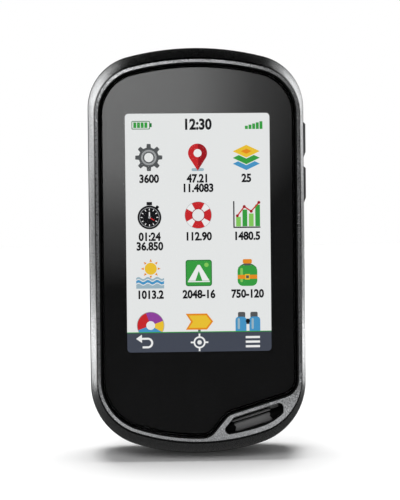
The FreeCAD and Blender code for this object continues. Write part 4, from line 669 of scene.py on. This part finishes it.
SCREEN_COLOURS = {
    "paper": (0.87, 0.88, 0.88), "ink": (0.010, 0.010, 0.012), "steel": (0.10, 0.105, 0.11),
    "silver": (0.36, 0.37, 0.38), "red": (0.62, 0.025, 0.03), "dark_red": (0.36, 0.012, 0.018),
    "leaf": (0.045, 0.36, 0.06), "dark_leaf": (0.02, 0.19, 0.04), "lime": (0.25, 0.62, 0.12),
    "sky": (0.07, 0.32, 0.60), "mist": (0.36, 0.50, 0.58), "gold": (0.90, 0.58, 0.04),
    "orange": (0.85, 0.28, 0.02), "violet": (0.30, 0.06, 0.36), "slate": (0.066, 0.075, 0.102),
    "white": (0.92, 0.92, 0.92),
}
LIT = {name: lit_ink(name, colour) for name, colour in SCREEN_COLOURS.items()}


def screen_middle():
    low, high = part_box("display_panel")
    return Vector(((low.x + high.x) / 2, low.y, (low.z + high.z) / 2 + WINDOW_RAISE * MM))


SCREEN = screen_middle()


def arc(x, z, radius, start, end, steps=24):
    """Points on an arc, from start to end in degrees."""
    turns = [radians(start + (end - start) * step / steps) for step in range(steps + 1)]
    return [(x + radius * cos(turn), z + radius * sin(turn)) for turn in turns]


def circle(x, z, radius, sides=40):
    return arc(x, z, radius, 0, 360 - 360 / sides, sides - 1)


def block(x, z, width, height):
    return [(x + width / 2 * a, z + height / 2 * b) for a, b in ((-1, -1), (1, -1), (1, 1), (-1, 1))]


def round_block(x, z, width, height, corner):
    points = []
    for quarter, (a, b) in enumerate(((1, 1), (-1, 1), (-1, -1), (1, -1))):
        points += arc(x + a * (width / 2 - corner), z + b * (height / 2 - corner), corner,
                      90 * quarter, 90 * quarter + 90, 6)
    return points


def band(x, z, inner, outer, start, end, steps=12):
    """A piece of a ring."""
    return arc(x, z, outer, start, end, steps) + arc(x, z, inner, end, start, steps)


def turned(points, degrees):
    c, s = cos(radians(degrees)), sin(radians(degrees))
    return [(x * c - z * s, x * s + z * c) for x, z in points]


def moved(points, x, z):
    return [(x + a, z + b) for a, b in points]


def stroke(start, end, width):
    """A straight bar from one point to another."""
    along = Vector((end[0] - start[0], end[1] - start[1])).normalized() * width / 2
    return (moved([start], -along.y, along.x) + moved([start], along.y, -along.x)
            + moved([end], along.y, -along.x) + moved([end], -along.y, along.x))


def stand_up(piece, place, narrow=1.0):
    """Makes a flat drawing in mm a mesh that stands upright at its place."""
    select_only(piece)
    bpy.ops.object.convert(target="MESH")
    piece.rotation_euler = (pi / 2, 0, 0)
    piece.scale = (MM * narrow, MM, MM)
    piece.location = place
    return apply_place(piece)


def flat_shape(outlines, thick, place):
    """A flat solid from outlines in mm. An outline inside another is a hole."""
    curve = adjusted(bpy.data.curves.new("flat_shape", "CURVE"), dimensions="2D",
                     fill_mode="BOTH", extrude=thick / 2)
    for outline in outlines:
        spline = curve.splines.new("POLY")
        spline.points.add(len(outline) - 1)
        for point, (x, z) in zip(spline.points, outline):
            point.co = (x, z, 0, 1)
        spline.use_cyclic_u = True
    return stand_up(linked("flat_shape", curve), place)


def on_screen(x, z, layer):
    """A place on the screen, on a layer counted towards the glass."""
    depth = SCREEN.y - (TILE_STEP * (layer + 1) + TILE_GAP) * MM
    return Vector((SCREEN.x + x * MM, depth, SCREEN.z + z * MM))


def tile(colour, outlines, x, z, layer):
    return painted(flat_shape(outlines, TILE_THICK, on_screen(x, z, layer)), LIT[colour])


def figures(text, x, z, size=LABEL_SIZE, weight=0.042):
    """Plain figures, as mesh."""
    bpy.ops.object.select_all(action="DESELECT")
    bpy.ops.object.text_add()
    piece = bpy.context.object
    adjusted(piece.data, body=text, size=size, align_x="CENTER", align_y="CENTER",
             offset=weight * size, extrude=TILE_THICK / 2, resolution_u=3)
    return painted(stand_up(piece, on_screen(x, z, 1), FIGURE_WIDTH), LIT["ink"])


def on_display(name, pieces):
    placed(joined(name, pieces), "casing")


def drawing(name, x, z, shapes, layer=1):
    """A picture on the screen. Each shape is (colour, outline, ...) and lies over the last one."""
    on_display(name, [tile(shape[0], shape[1:], x, z, layer + order)
                      for order, shape in enumerate(shapes)])


def gear():
    teeth = []
    for tooth in range(0, 360, 45):
        for radius, start, end, steps in ((2.75, -14, -13, 1), (3.7, -8, 8, 3), (2.75, 13, 14, 1)):
            teeth += arc(0, 0, radius, tooth + start, tooth + end, steps)
    return [("steel", teeth, circle(0, 0, 1.25)), ("silver", circle(0, 0, 2.1), circle(0, 0, 1.6))]


def map_pin():
    drop = arc(0, 1.1, 2.6, -28, 208) + [(0, -3.7)]
    shade = arc(0, 1.1, 2.6, -28, 90) + [(0.3, 1.1), (0, -3.7)]
    return [("mist", round_block(0, -3.4, 3.4, 0.8, 0.39)), ("red", drop), ("dark_red", shade),
            ("white", circle(0, 1.1, 1.1))]


def sheets():
    def sheet(z, half=3.7, tall=1.75):
        return [(-half, z), (0, z - tall), (half, z), (0, z + tall)]
    return [("sky", sheet(-1.9)), ("paper", sheet(-0.55)), ("leaf", sheet(-0.3)),
            ("paper", sheet(1.25)), ("gold", sheet(1.5)), ("orange", sheet(1.5, 1.5, 0.7))]


def stopwatch():
    ticks = [moved(turned(block(0, 2.15, 0.22, 0.5), 30 * tick), 0, -0.5) for tick in range(12)]
    lug = moved(turned(block(0, 3.5, 0.8, 0.8), -38), 0, -0.5)
    return [("ink", block(0, 3.25, 1.5, 0.9)), ("ink", lug), ("ink", circle(0, -0.5, 3.25)),
            ("silver", circle(0, -0.5, 2.75), circle(0, -0.5, 2.6)), ("white", *ticks),
            ("white", stroke((0, -0.5), (0, 1.0), 0.3)), ("red", stroke((0, -0.5), (1.3, -1.3), 0.3)),
            ("silver", circle(0, -0.5, 0.35))]


def life_ring():
    marks = [band(0, 0, 1.65, 3.6, 90 * mark + 29, 90 * mark + 61) for mark in range(4)]
    return [("silver", circle(0, 0, 3.7)), ("red", circle(0, 0, 3.6)), ("white", *marks),
            ("dark_red", circle(0, 0, 1.8)), ("paper", circle(0, 0, 1.6))]


def bar_chart():
    bars = [block(-2.3 + 1.75 * bar, -3.2 + tall / 2, 1.3, tall)
            for bar, tall in enumerate((2.6, 4.6, 3.5, 5.9))]
    line = ((-2.6, -0.3), (-0.7, 2.2), (1.2, 0.9), (3.3, 3.3))
    return [("lime", *bars[::2]), ("leaf", *bars[1::2]), ("ink", block(-3.55, 0.1, 0.35, 7.2)),
            ("ink", block(0.0, -3.45, 7.4, 0.35)),
            *[("red", stroke(a, b, 0.36)) for a, b in zip(line, line[1:])],
            ("dark_red", *[circle(x, z, 0.42, 16) for x, z in line])]


def sun_and_sea():
    rays = [moved(turned([(-0.35, 1.9), (0.35, 1.9), (0, 2.7)], 45 * ray), 0.2, 1.3)
            for ray in range(8)]

    def sea(top):
        crest = [(-3.8 + 0.19 * step, top + 0.28 * sin(step * 0.47)) for step in range(41)]
        return crest + [(3.8, top - 1.1), (-3.8, top - 1.1)]
    return [("orange", *rays), ("gold", circle(0.2, 1.3, 1.65)), ("mist", sea(-1.2)),
            ("paper", sea(-1.75)), ("sky", sea(-2.0)), ("paper", sea(-2.75)), ("mist", sea(-3.0))]


def tent():
    return [("dark_leaf", round_block(0, 0, 7.2, 7.2, 0.7)), ("leaf", round_block(0, 0, 6.7, 6.7, 0.5)),
            ("white", [(-2.9, -2.1), (2.9, -2.1), (0.3, 2.2), (-0.3, 2.2)]),
            ("leaf", [(-0.95, -2.1), (0.95, -2.1), (0, 0.6)]), ("white", block(0, -2.35, 6.0, 0.3)),
            ("lime", circle(2.1, 2.2, 0.6, 20))]


def canteen():
    return [("dark_leaf", band(0, -0.6, 2.75, 3.15, 35, 145)), ("steel", block(0, 2.3, 1.9, 0.8)),
            ("orange", round_block(0, 3.05, 2.5, 1.2, 0.35)),
            ("leaf", round_block(0, -0.9, 5.4, 5.6, 1.5)),
            ("lime", round_block(-1.6, -0.7, 0.7, 3.9, 0.34)), ("orange", block(0, -1.2, 5.4, 1.1)),
            ("gold", block(0, -1.2, 1.3, 1.5)), ("steel", block(0, -1.2, 0.8, 0.8))]


def pie():
    parts = [(colour, band(0, 0, 0.05, 3.6, start, end)) for colour, start, end in
             (("violet", 20, 110), ("red", 110, 200), ("sky", 200, 330))]
    return [("silver", circle(0, 0, 3.75)), ("gold", circle(0, 0, 3.6)), *parts,
            ("paper", circle(0, 0, 1.2))]


def chevron_sign():
    return [("steel", block(0, -2.0, 0.7, 4.0)),
            ("orange", [(-3.7, -1.3), (2.1, -1.3), (3.8, 0.9), (2.1, 3.1), (-3.7, 3.1), (-2.3, 0.9)]),
            ("gold", [(-2.9, -0.8), (1.9, -0.8), (3.2, 0.9), (1.9, 2.6), (-2.9, 2.6), (-1.7, 0.9)])]


def binoculars():
    def pair(x, *rest):
        return [round_block(side * x, *rest) for side in (-1, 1)]
    shines = [round_block(side * 1.9 - 0.6, 0.2, 0.6, 3.0, 0.28) for side in (-1, 1)]
    return [("steel", *pair(1.7, 2.6, 2.0, 1.6, 0.4)), ("steel", block(0, 0.8, 2.0, 1.5)),
            ("sky", *pair(1.9, -0.4, 3.0, 5.0, 0.9)), ("mist", *shines),
            ("ink", circle(0, 0.9, 0.6, 20))]


PICTURES = (
    (gear, "3600"), (map_pin, "47.21", "11.4083"), (sheets, "25"), (stopwatch, "01:24", "36.850"),
    (life_ring, "112.90"), (bar_chart, "1480.5"), (sun_and_sea, "1013.2"), (tent, "2048-16"),
    (canteen, "750-120"), (pie,), (chevron_sign,), (binoculars,),
)


def make_pictures():
    """The pictures in rows of three, each named after its function, with figures below."""
    for order, (draw, *labels) in enumerate(PICTURES):
        x, z = COLUMNS[order % 3], ROWS[order // 3]
        drawing("icon_" + draw.__name__, x, z, draw())
        lines = [figures(label, x, z - LABEL_DROP - LABEL_LEADING * line)
                 for line, label in enumerate(labels)]
        if lines:
            on_display("label_" + draw.__name__, lines)


def make_status_row():
    bars = [block(-2.0 + bar, 0.15 * bar - 0.8, 0.8, 0.9 + 0.3 * bar) for bar in range(5)]
    drawing("status_signal", 15.4, STATUS_Z, [("leaf", *bars)])
    cells = [block(-1.6 + 1.0 * cell, 0, 0.8, 1.5) for cell in range(4)]
    drawing("status_battery", -15.4, STATUS_Z,
            [("dark_leaf", round_block(0, 0, 5.0, 2.3, 0.3)), ("dark_leaf", block(2.75, 0, 0.5, 1.1)),
             ("paper", round_block(0, 0, 4.6, 1.9, 0.2)), ("leaf", *cells)])
    on_display("status_clock", [figures("12:30", 0, STATUS_Z, size=4.0, weight=0.038)])


def make_bottom_bar():
    bottom = -WINDOW[1] / 2 - 0.3
    middle = (BAR_TOP + bottom) / 2
    drawing("bottom_bar", 0, 0, [("slate", block(0, middle, WINDOW[0] + 0.6, BAR_TOP - bottom)),
                                 ("leaf", block(0, BAR_TOP, WINDOW[0] + 0.6, 0.22))], BAR_LAYER)
    arrow = (band(0.2, 0, 0.9, 1.45, -90, 90), block(-0.7, 1.17, 1.9, 0.55),
             block(-0.5, -1.17, 1.5, 0.55), [(-3.0, 1.17), (-1.4, 2.3), (-1.4, 0.05)])
    drawing("bar_back", -14.3, middle, [("white", part) for part in arrow], MARK_LAYER)
    marks = [turned(block(0, 1.95, 0.45, 0.9), 90 * mark) for mark in range(4)]
    drawing("bar_locate", 0, middle,
            [("white", circle(0, 0, 1.65), circle(0, 0, 1.2)), ("white", *marks),
             ("white", circle(0, 0, 0.6, 24))], MARK_LAYER)
    rows = [block(0, 1.25 * row, 3.9, 0.6) for row in (-1, 0, 1)]
    drawing("bar_menu", 14.6, middle, [("white", *rows)], MARK_LAYER)


def make_screen_sheet():
    """The lit face behind the glass, which stands for the touch sensor and what shows through it."""
    low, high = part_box("touch_sensor")
    middle = (low + high) / 2
    sheet = add_block("screen_sheet", (middle.x, SCREEN.y - 0.11 * MM, middle.z),
                      (high.x - low.x, 0.18 * MM, high.z - low.z))
    round_edges(sheet, 0.05 * MM, 2)
    placed(sheet, "casing", LIT["paper"], ["touch_sensor"])


# === ink and rubber round the glass ===

def make_glass_print():
    """The black border printed on the glass, cut from the glass's own outline."""
    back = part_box("cover_glass")[1].y
    sheet = copy_of("cover_glass", "glass_print")
    start_edit(sheet)
    bpy.ops.mesh.bisect(plane_co=(0, back - PRINT_THICK * MM, 0), plane_no=(0, 1, 0),
                        clear_inner=True, use_fill=True)
    bpy.ops.mesh.select_all(action="SELECT")
    bpy.ops.transform.resize(value=PRINT_SHRINK, center_override=(0, back, SCREEN.z))
    bpy.ops.transform.translate(value=(0, -PRINT_SINK * MM + PRINT_THICK * MM, 0))
    end_edit()
    hole = add_block("print_window", SCREEN.xyz, (WINDOW[0] * MM, 4 * MM, WINDOW[1] * MM))
    start_edit(hole, "DESELECT")
    end_edit()
    for edge in hole.data.edges:
        first, last = [hole.data.vertices[end].co for end in edge.vertices]
        edge.select = abs(first.y - last.y) > 1 * MM
    bpy.ops.object.mode_set(mode="EDIT")
    bpy.ops.mesh.bevel(offset=WINDOW_CORNER * MM, segments=8)
    end_edit()
    cut_away(sheet, hole)
    placed(tidy_mesh(sheet), "casing", INK)


def make_glass_edge():
    """The black ink on the rolled edge of the glass."""
    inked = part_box("cover_glass")[0].y + EDGE_BARE * MM
    edge = copy_of("cover_glass", "glass_edge_print")
    slice_across(edge, (0, 1, 0), (inked,))
    keep_faces(edge, lambda face: face.center.y > inked and face.normal.y < 0.95)
    thickened(edge, EDGE_INK * MM, -1.0)
    start_edit(edge)
    bpy.ops.transform.resize(value=EDGE_SHRINK, center_override=(0, 0, RIM_HALF[1]))
    bpy.ops.transform.translate(value=(0, PRINT_SINK * MM, 0))
    end_edit()
    placed(tidy_mesh(edge), "casing", SEAL_INK_AND_SHADE_BLACK)


def make_glass_lip():
    """The black lip that seals the glass in its rim."""
    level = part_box("cover_glass")[1].y - LIP_DEEP * MM
    lip = copy_of("cover_glass", "glass_lip")
    slice_across(lip, (0, 1, 0), (level,))
    keep_faces(lip, lambda face: face.center.y > level and face.normal.y < 0.5)
    thickened(lip, LIP_WIDE * MM)
    for vertex in lip.data.vertices:
        vertex.co.y = max(vertex.co.y, level)
    tidy_mesh(lip)
    lip.location.y = CAD_BOX[0].y - LIP_PROUD * MM - level
    placed(apply_place(lip), "casing", SEAL_INK_AND_SHADE_BLACK)


# === pieces on the outside ===

def make_side_grips():
    """Rubber ribs round both back corners of the rear housing."""
    skin = copy_of("rear_housing", "side_grips")
    lows = [(GRIP_LOW + GRIP_PITCH * rib) * MM for rib in range(GRIP_COUNT)
            if rib not in GRIP_GAPS]
    slice_across(skin, (0, 0, 1), [edge for low in lows for edge in (low, low + GRIP_RIB * MM)])
    slice_across(skin, (0, 1, 0), GRIP_REACH)

    def on_rib(face):
        corner = face.normal.y > 0.1 and face.normal.x * face.center.x > 0.1 * abs(face.center.x)
        in_band = any(low < face.center.z < low + GRIP_RIB * MM for low in lows)
        return corner and in_band and GRIP_REACH[0] < face.center.y < GRIP_REACH[1]
    keep_faces(skin, on_rib)
    start_edit(skin)
    bpy.ops.mesh.remove_doubles(threshold=0.02 * MM)
    bpy.ops.mesh.dissolve_limited(angle_limit=radians(1.5))
    end_edit()
    tidy_mesh(thickened(skin, SKIN_THICK * MM))
    placed(smooth(skin, 30), "casing", GRIP_RUBBER)


def make_slot_shade_liner():
    """A near-black sleeve over the ring's own slot walls: painted shade deep in the strap slot."""
    sleeve = copy_of("bezel_ring", "slot_shade_liner")
    x, y, z = MOUNTS["strap_slot"]["pos_m"]
    rise = radians(SLOT_RISE)

    def in_slot(face):
        over, up = face.center.x - x, face.center.z - z
        along = over * cos(rise) + up * sin(rise)
        across = up * cos(rise) - over * sin(rise)
        towards = face.normal.x * over + face.normal.z * up
        inside = abs(along) < SLOT_HALF[0] and abs(across) < SLOT_HALF[1]
        return abs(face.normal.y) < 0.2 and inside and towards < 0
    keep_faces(sleeve, in_slot)
    tidy_mesh(thickened(sleeve, LINER_THICK * MM))
    placed(smooth(sleeve, 40), "casing", SEAL_INK_AND_SHADE_BLACK)


def make_strap_pad():
    """The raised pad on the strap bar, stepped along its upper edge."""
    x, y, z = MOUNTS["strap_slot"]["pos_m"]
    steps = []
    for rise, depth, width, tall in ((-0.35, 3.9, 11.4, 3.5), (-0.75, 3.1, 10.8, 2.6)):
        step = add_block("pad_step", (0, 0, 0), (width * MM, 3.0 * MM, tall * MM))
        round_edges(step, 0.55 * MM, 4)
        step.rotation_euler = (0, -radians(SLOT_RISE), 0)
        step.location = (x + 0.1 * MM, y + (depth + 1.5) * MM, z + rise * MM)
        steps.append(apply_place(step))
    placed(smooth(joined("strap_pad", steps)), "casing", PAD_PLASTIC)


def make_cover_grips():
    """Low ribs on the battery cover, each side of the spine."""
    size = (RIB_SIZE[0] * MM, RIB_PROUD * 2 * MM, RIB_SIZE[1] * MM)
    places = [(side * RIB_SIDE * MM, BACK, (RIB_LOW + RIB_PITCH * row) * MM)
              for side in (-1, 1) for row in range(RIB_COUNT)]
    ribs = [round_edges(add_block("rib", place, size), 0.3 * MM) for place in places]
    placed(smooth(joined("cover_grips", ribs)), "cover", GRIP_RUBBER)


def make_latch_marks():
    """A turning arrow between a filled mark for shut and an open one for free."""
    low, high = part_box("latch_stud")
    place = Vector((0, BACK + MARK_PROUD * MM / 2, (low.z + high.z) / 2))
    tip = turned([(8.75, 0), (8.2, -0.75), (7.65, 0)], -168)
    shapes = [flat_shape(outlines, MARK_PROUD, place) for outlines in (
        [band(0, 0, 8.0, 8.4, 192, 250, 20)], [tip], [circle(0, -8.3, 0.75, 32)],
        [circle(-8.9, 0, 0.85, 32), circle(-8.9, 0, 0.5, 32)])]
    placed(joined("latch_marks", shapes), "cover", MARK_INK)


def make_cap_ridges():
    """Finger ridges at the free end of the weather cap."""
    low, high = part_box("usb_cap")
    middle = (low + high) / 2
    bars = [round_edges(add_block("ridge", (middle.x, BACK, high.z - (1.15 + 0.85 * row) * MM),
                                  ((5.6 - 0.7 * row) * MM, 0.44 * MM, 0.4 * MM)), 0.12 * MM)
            for row in range(3)]
    placed(smooth(joined("cap_ridges", bars)), "cap", KEY_RUBBER)


def star_hole(outer, inner, points=6, steps=8):
    """A soft star, as in a screw's drive."""
    outline = []
    for step in range(points * steps):
        turn = tau * step / (points * steps)
        reach = (outer + inner) / 2 + (outer - inner) / 2 * cos(points * turn)
        outline.append((reach * cos(turn), reach * sin(turn)))
    return outline


def screw_heads(node):
    """The middle of each screw of a node, and the depth of its head."""
    start_edit(copy_of(node, "screw_probe"))
    bpy.ops.mesh.separate(type="LOOSE")
    end_edit()
    heads = []
    for part in list(bpy.context.selected_objects):
        corners = [vertex.co for vertex in part.data.vertices]
        low, high = [Vector([pick(corner[side] for corner in corners) for side in range(3)])
                     for pick in (min, max)]
        heads.append(((low + high) / 2, high.y))
        bpy.data.objects.remove(part)
    return heads


def make_screw_drives():
    """A six-lobed drive in the socket of each housing screw."""
    drives = [flat_shape([circle(0, 0, 0.98, 32), star_hole(0.82, 0.52)], 0.5,
                         Vector((middle.x, back - 0.32 * MM, middle.z)))
              for middle, back in screw_heads("housing_screws")]
    placed(smooth(joined("screw_drives", drives)), "casing", SCREW_STEEL)


def make_flash_lens():
    """A flat lens with rings cut in its face."""
    low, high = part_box("flash_lens")
    middle = (low + high) / 2
    lens = add_disc("flash_rings", middle, (high.x - low.x) / 2, high.y - low.y)
    pick_faces(lens, lambda face: face.normal.y > 0.9)
    step_in(lens, [(0.25, 0.0)] + [(0.02, -0.16), (0.26, 0.16)] * 6)
    placed(smooth(tidy_mesh(lens), 25), "casing", LENS_PLASTIC, ["flash_lens"])


def make_camera_body():
    """The camera's square body with its stepped barrel, and the front element in it."""
    low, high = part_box("camera_module")
    middle = (low + high) / 2
    collar = 2.0 * MM
    body = add_block("camera_block", (middle.x, (low.y + high.y - collar) / 2, middle.z),
                     (high.x - low.x, high.y - low.y - collar, high.z - low.z))
    round_edges(body, 0.5 * MM)
    barrel = add_disc("camera_barrel", (middle.x, high.y - collar * 0.55, middle.z),
                      3.9 * MM, collar * 1.1, sides=72)
    pick_faces(barrel, lambda face: face.normal.y > 0.9)
    step_in(barrel, [(0.35, 0.0), (0.05, -0.45), (0.35, 0.0), (0.05, -0.35), (0.3, 0.0), (0.35, -0.5)])
    placed(smooth(joined("camera_body", [body, barrel]), 30), "casing", CHIP,
           ["camera_module"])
    element = added("camera_element", bpy.ops.mesh.primitive_uv_sphere_add, segments=48,
                    ring_count=24, radius=2.45 * MM, rotation=(pi / 2, 0, 0),
                    location=(middle.x, high.y - 1.45 * MM, middle.z), scale=(1, 1, 0.38))
    placed(smooth(apply_place(element), 60), "casing", COATED_LENS)


# === the camera, lights and floor ===

AIM = Vector((0.33, -16.5, 57.6)) * MM
DISTANCE = 330 * MM
YAW = 2.0
PITCH = 1.0
ROLL = -0.6
LENS = 87.5


def make_camera():
    camera = linked("camera", adjusted(bpy.data.cameras.new("camera"), lens=LENS,
                                       sensor_width=36, clip_start=0.01))
    yaw, pitch = radians(YAW), radians(PITCH)
    back = Vector((-sin(yaw) * cos(pitch), -cos(yaw) * cos(pitch), sin(pitch)))
    camera.location = AIM + back * DISTANCE
    camera.rotation_euler = (-back).to_track_quat("-Z", "Y").to_euler()
    camera.rotation_euler.rotate_axis("Z", radians(ROLL))
    bpy.context.scene.camera = camera


def paths_that_see_white(tree):
    """1 for camera, glossy and transmission rays, and 0 for the rest."""
    path = add_node(tree, "LightPath").outputs
    total = path["Is Camera Ray"]
    for kind in ("Is Glossy Ray", "Is Transmission Ray"):
        total = add_node(tree, "Math", {0: total, 1: path[kind]}, operation="MAXIMUM").outputs[0]
    return total


def make_world(fill):
    """White to the eye and in reflections; a softer fill on the object."""
    world = bpy.data.worlds.new("studio")
    bpy.context.scene.world = world
    world.use_nodes = True
    tree = world.node_tree
    strength = add_node(tree, "MapRange", {"Value": paths_that_see_white(tree), "To Min": fill,
                                           "To Max": 1.0})
    background = tree.nodes["Background"]
    background.inputs["Color"].default_value = (1, 1, 1, 1)
    tree.links.new(strength.outputs["Result"], background.inputs["Strength"])


def bare_material(piece, name):
    """A new material on the piece without the usual shader: its node tree."""
    material = bpy.data.materials.new(name)
    material.use_nodes = True
    piece.data.materials.append(material)
    tree = material.node_tree
    tree.nodes.remove(tree.nodes["Principled BSDF"])
    return tree


def set_surface(tree, shader):
    tree.links.new(shader.outputs[0], tree.nodes["Material Output"].inputs["Surface"])


def make_floor(glow):
    """A pale floor that keeps the shadow."""
    floor = added("floor", bpy.ops.mesh.primitive_plane_add, size=8, location=(0, 0, CAD_BOX[0].z))
    tree = bare_material(floor, "pale_floor")
    diffuse = add_node(tree, "BsdfDiffuse", {"Color": (0.86, 0.86, 0.86, 1)}).outputs[0]
    seen = {0: paths_that_see_white(tree), 1: glow}
    strength = add_node(tree, "Math", seen, operation="MULTIPLY").outputs[0]
    light = add_node(tree, "Emission", {"Strength": strength}).outputs[0]
    set_surface(tree, add_node(tree, "AddShader", {0: diffuse, 1: light}))


def add_card(name, centre, size, turn, glow=0.0, reach=0.0, stops=()):
    """A card that shows only in reflections: black, or with a round glow at its centre.
    Stops are (share of the reach, share of the glow), from the edge of the glow inwards."""
    card = added(name, bpy.ops.mesh.primitive_plane_add, size=1, location=centre, rotation=turn)
    for vertex in card.data.vertices:
        vertex.co.x *= size[0]
        vertex.co.y *= size[1]
    tree = bare_material(card, name)
    light = add_node(tree, "Emission", {"Strength": glow})
    set_surface(tree, light)
    if reach:
        place = add_node(tree, "TexCoord").outputs["Object"]
        mapping = add_node(tree, "Mapping", {"Vector": place, "Scale": (1 / reach,) * 3})
        round_glow = add_node(tree, "TexGradient", {"Vector": mapping.outputs["Vector"]},
                              gradient_type="SPHERICAL").outputs["Fac"]
        colour = add_ramp(tree, round_glow, [(share, (grey,) * 3) for share, grey in stops])
        tree.links.new(colour, light.inputs["Color"])
    adjusted(card, visible_camera=False, visible_diffuse=False, visible_shadow=False)


def add_lamp(name, kind, place, aim, **settings):
    """A lamp at its place, turned towards its aim."""
    lamp = linked(name, adjusted(bpy.data.lights.new(name, kind), **settings))
    lamp.location = place
    lamp.rotation_euler = (Vector(aim) - Vector(place)).to_track_quat("-Z", "Y").to_euler()
    return lamp


def make_lamps():
    """Soft light from above that shows in no reflection, and a softbox in front."""
    sun = add_lamp("high_sun", "SUN", (0, 0, 0), (-0.01, -0.12, -1.0), energy=3.15,
                   angle=radians(38))
    sun.visible_glossy = False
    softbox = add_lamp("front_softbox", "AREA", (-0.18, -0.68, 0.66), (0, 0, 0.06), energy=2.3,
                       shape="RECTANGLE", size=0.4, size_y=0.4)
    softbox.visible_camera = False


def make_cards():
    """What the gloss of the object mirrors from each side."""
    upright = (pi / 2, 0, 0)
    flat = (0, 0, 0)
    low = 0.0001                # just clear of the floor
    add_card("front_card", (-0.06, -1.0, 0.225), (1.1, 1.1), upright, 3.3, 0.28,
             ((0.0, 0.042), (0.2, 0.042), (0.45, 0.30), (0.68, 0.85), (0.95, 1.0)))
    add_card("right_flag", (0.80, -0.95, 0.25), (0.66, 0.9), upright)
    add_card("left_flag", (-0.95, -0.95, 0.25), (0.7, 0.9), upright, 0.22)
    add_card("front_floor_card", (0, -0.54, low), (0.8, 0.96), flat, 0.12)
    add_card("back_floor_card", (0, 0.24, low), (0.20, 0.52), flat, 0.05)
    add_card("back_top_card", (0.02, 0.5, 0.42), (0.36, 0.6), upright)
    add_card("top_card", (0.02, 0.0, 0.6), (0.9, 1.2), flat)
    for side, glow in ((-1, 2.7), (1, 2.4)):
        add_card("side_high_card", (side * 0.42, 0.45, 0.29), (0.30, 0.30), upright, glow)
        add_card("side_gap_card", (side * 0.40, 0.47, 0.05), (0.40, 0.10), upright, 0.1)
        add_card("side_floor_card", (side * 0.30, 0.22, low), (0.36, 0.40), flat, glow)


finish_cad_nodes()
make_side_grips()
make_slot_shade_liner()
make_strap_pad()
make_cover_grips()
make_latch_marks()
make_cap_ridges()
make_screw_drives()
make_flash_lens()
make_camera_body()
make_screen_sheet()
make_glass_print()
make_glass_edge()
make_glass_lip()
make_pictures()
make_status_row()
make_bottom_bar()
make_camera()
make_world(fill=0.24)
make_floor(glow=0.015)
make_lamps()
make_cards()

bpy.context.scene.view_settings.view_transform = "Standard"
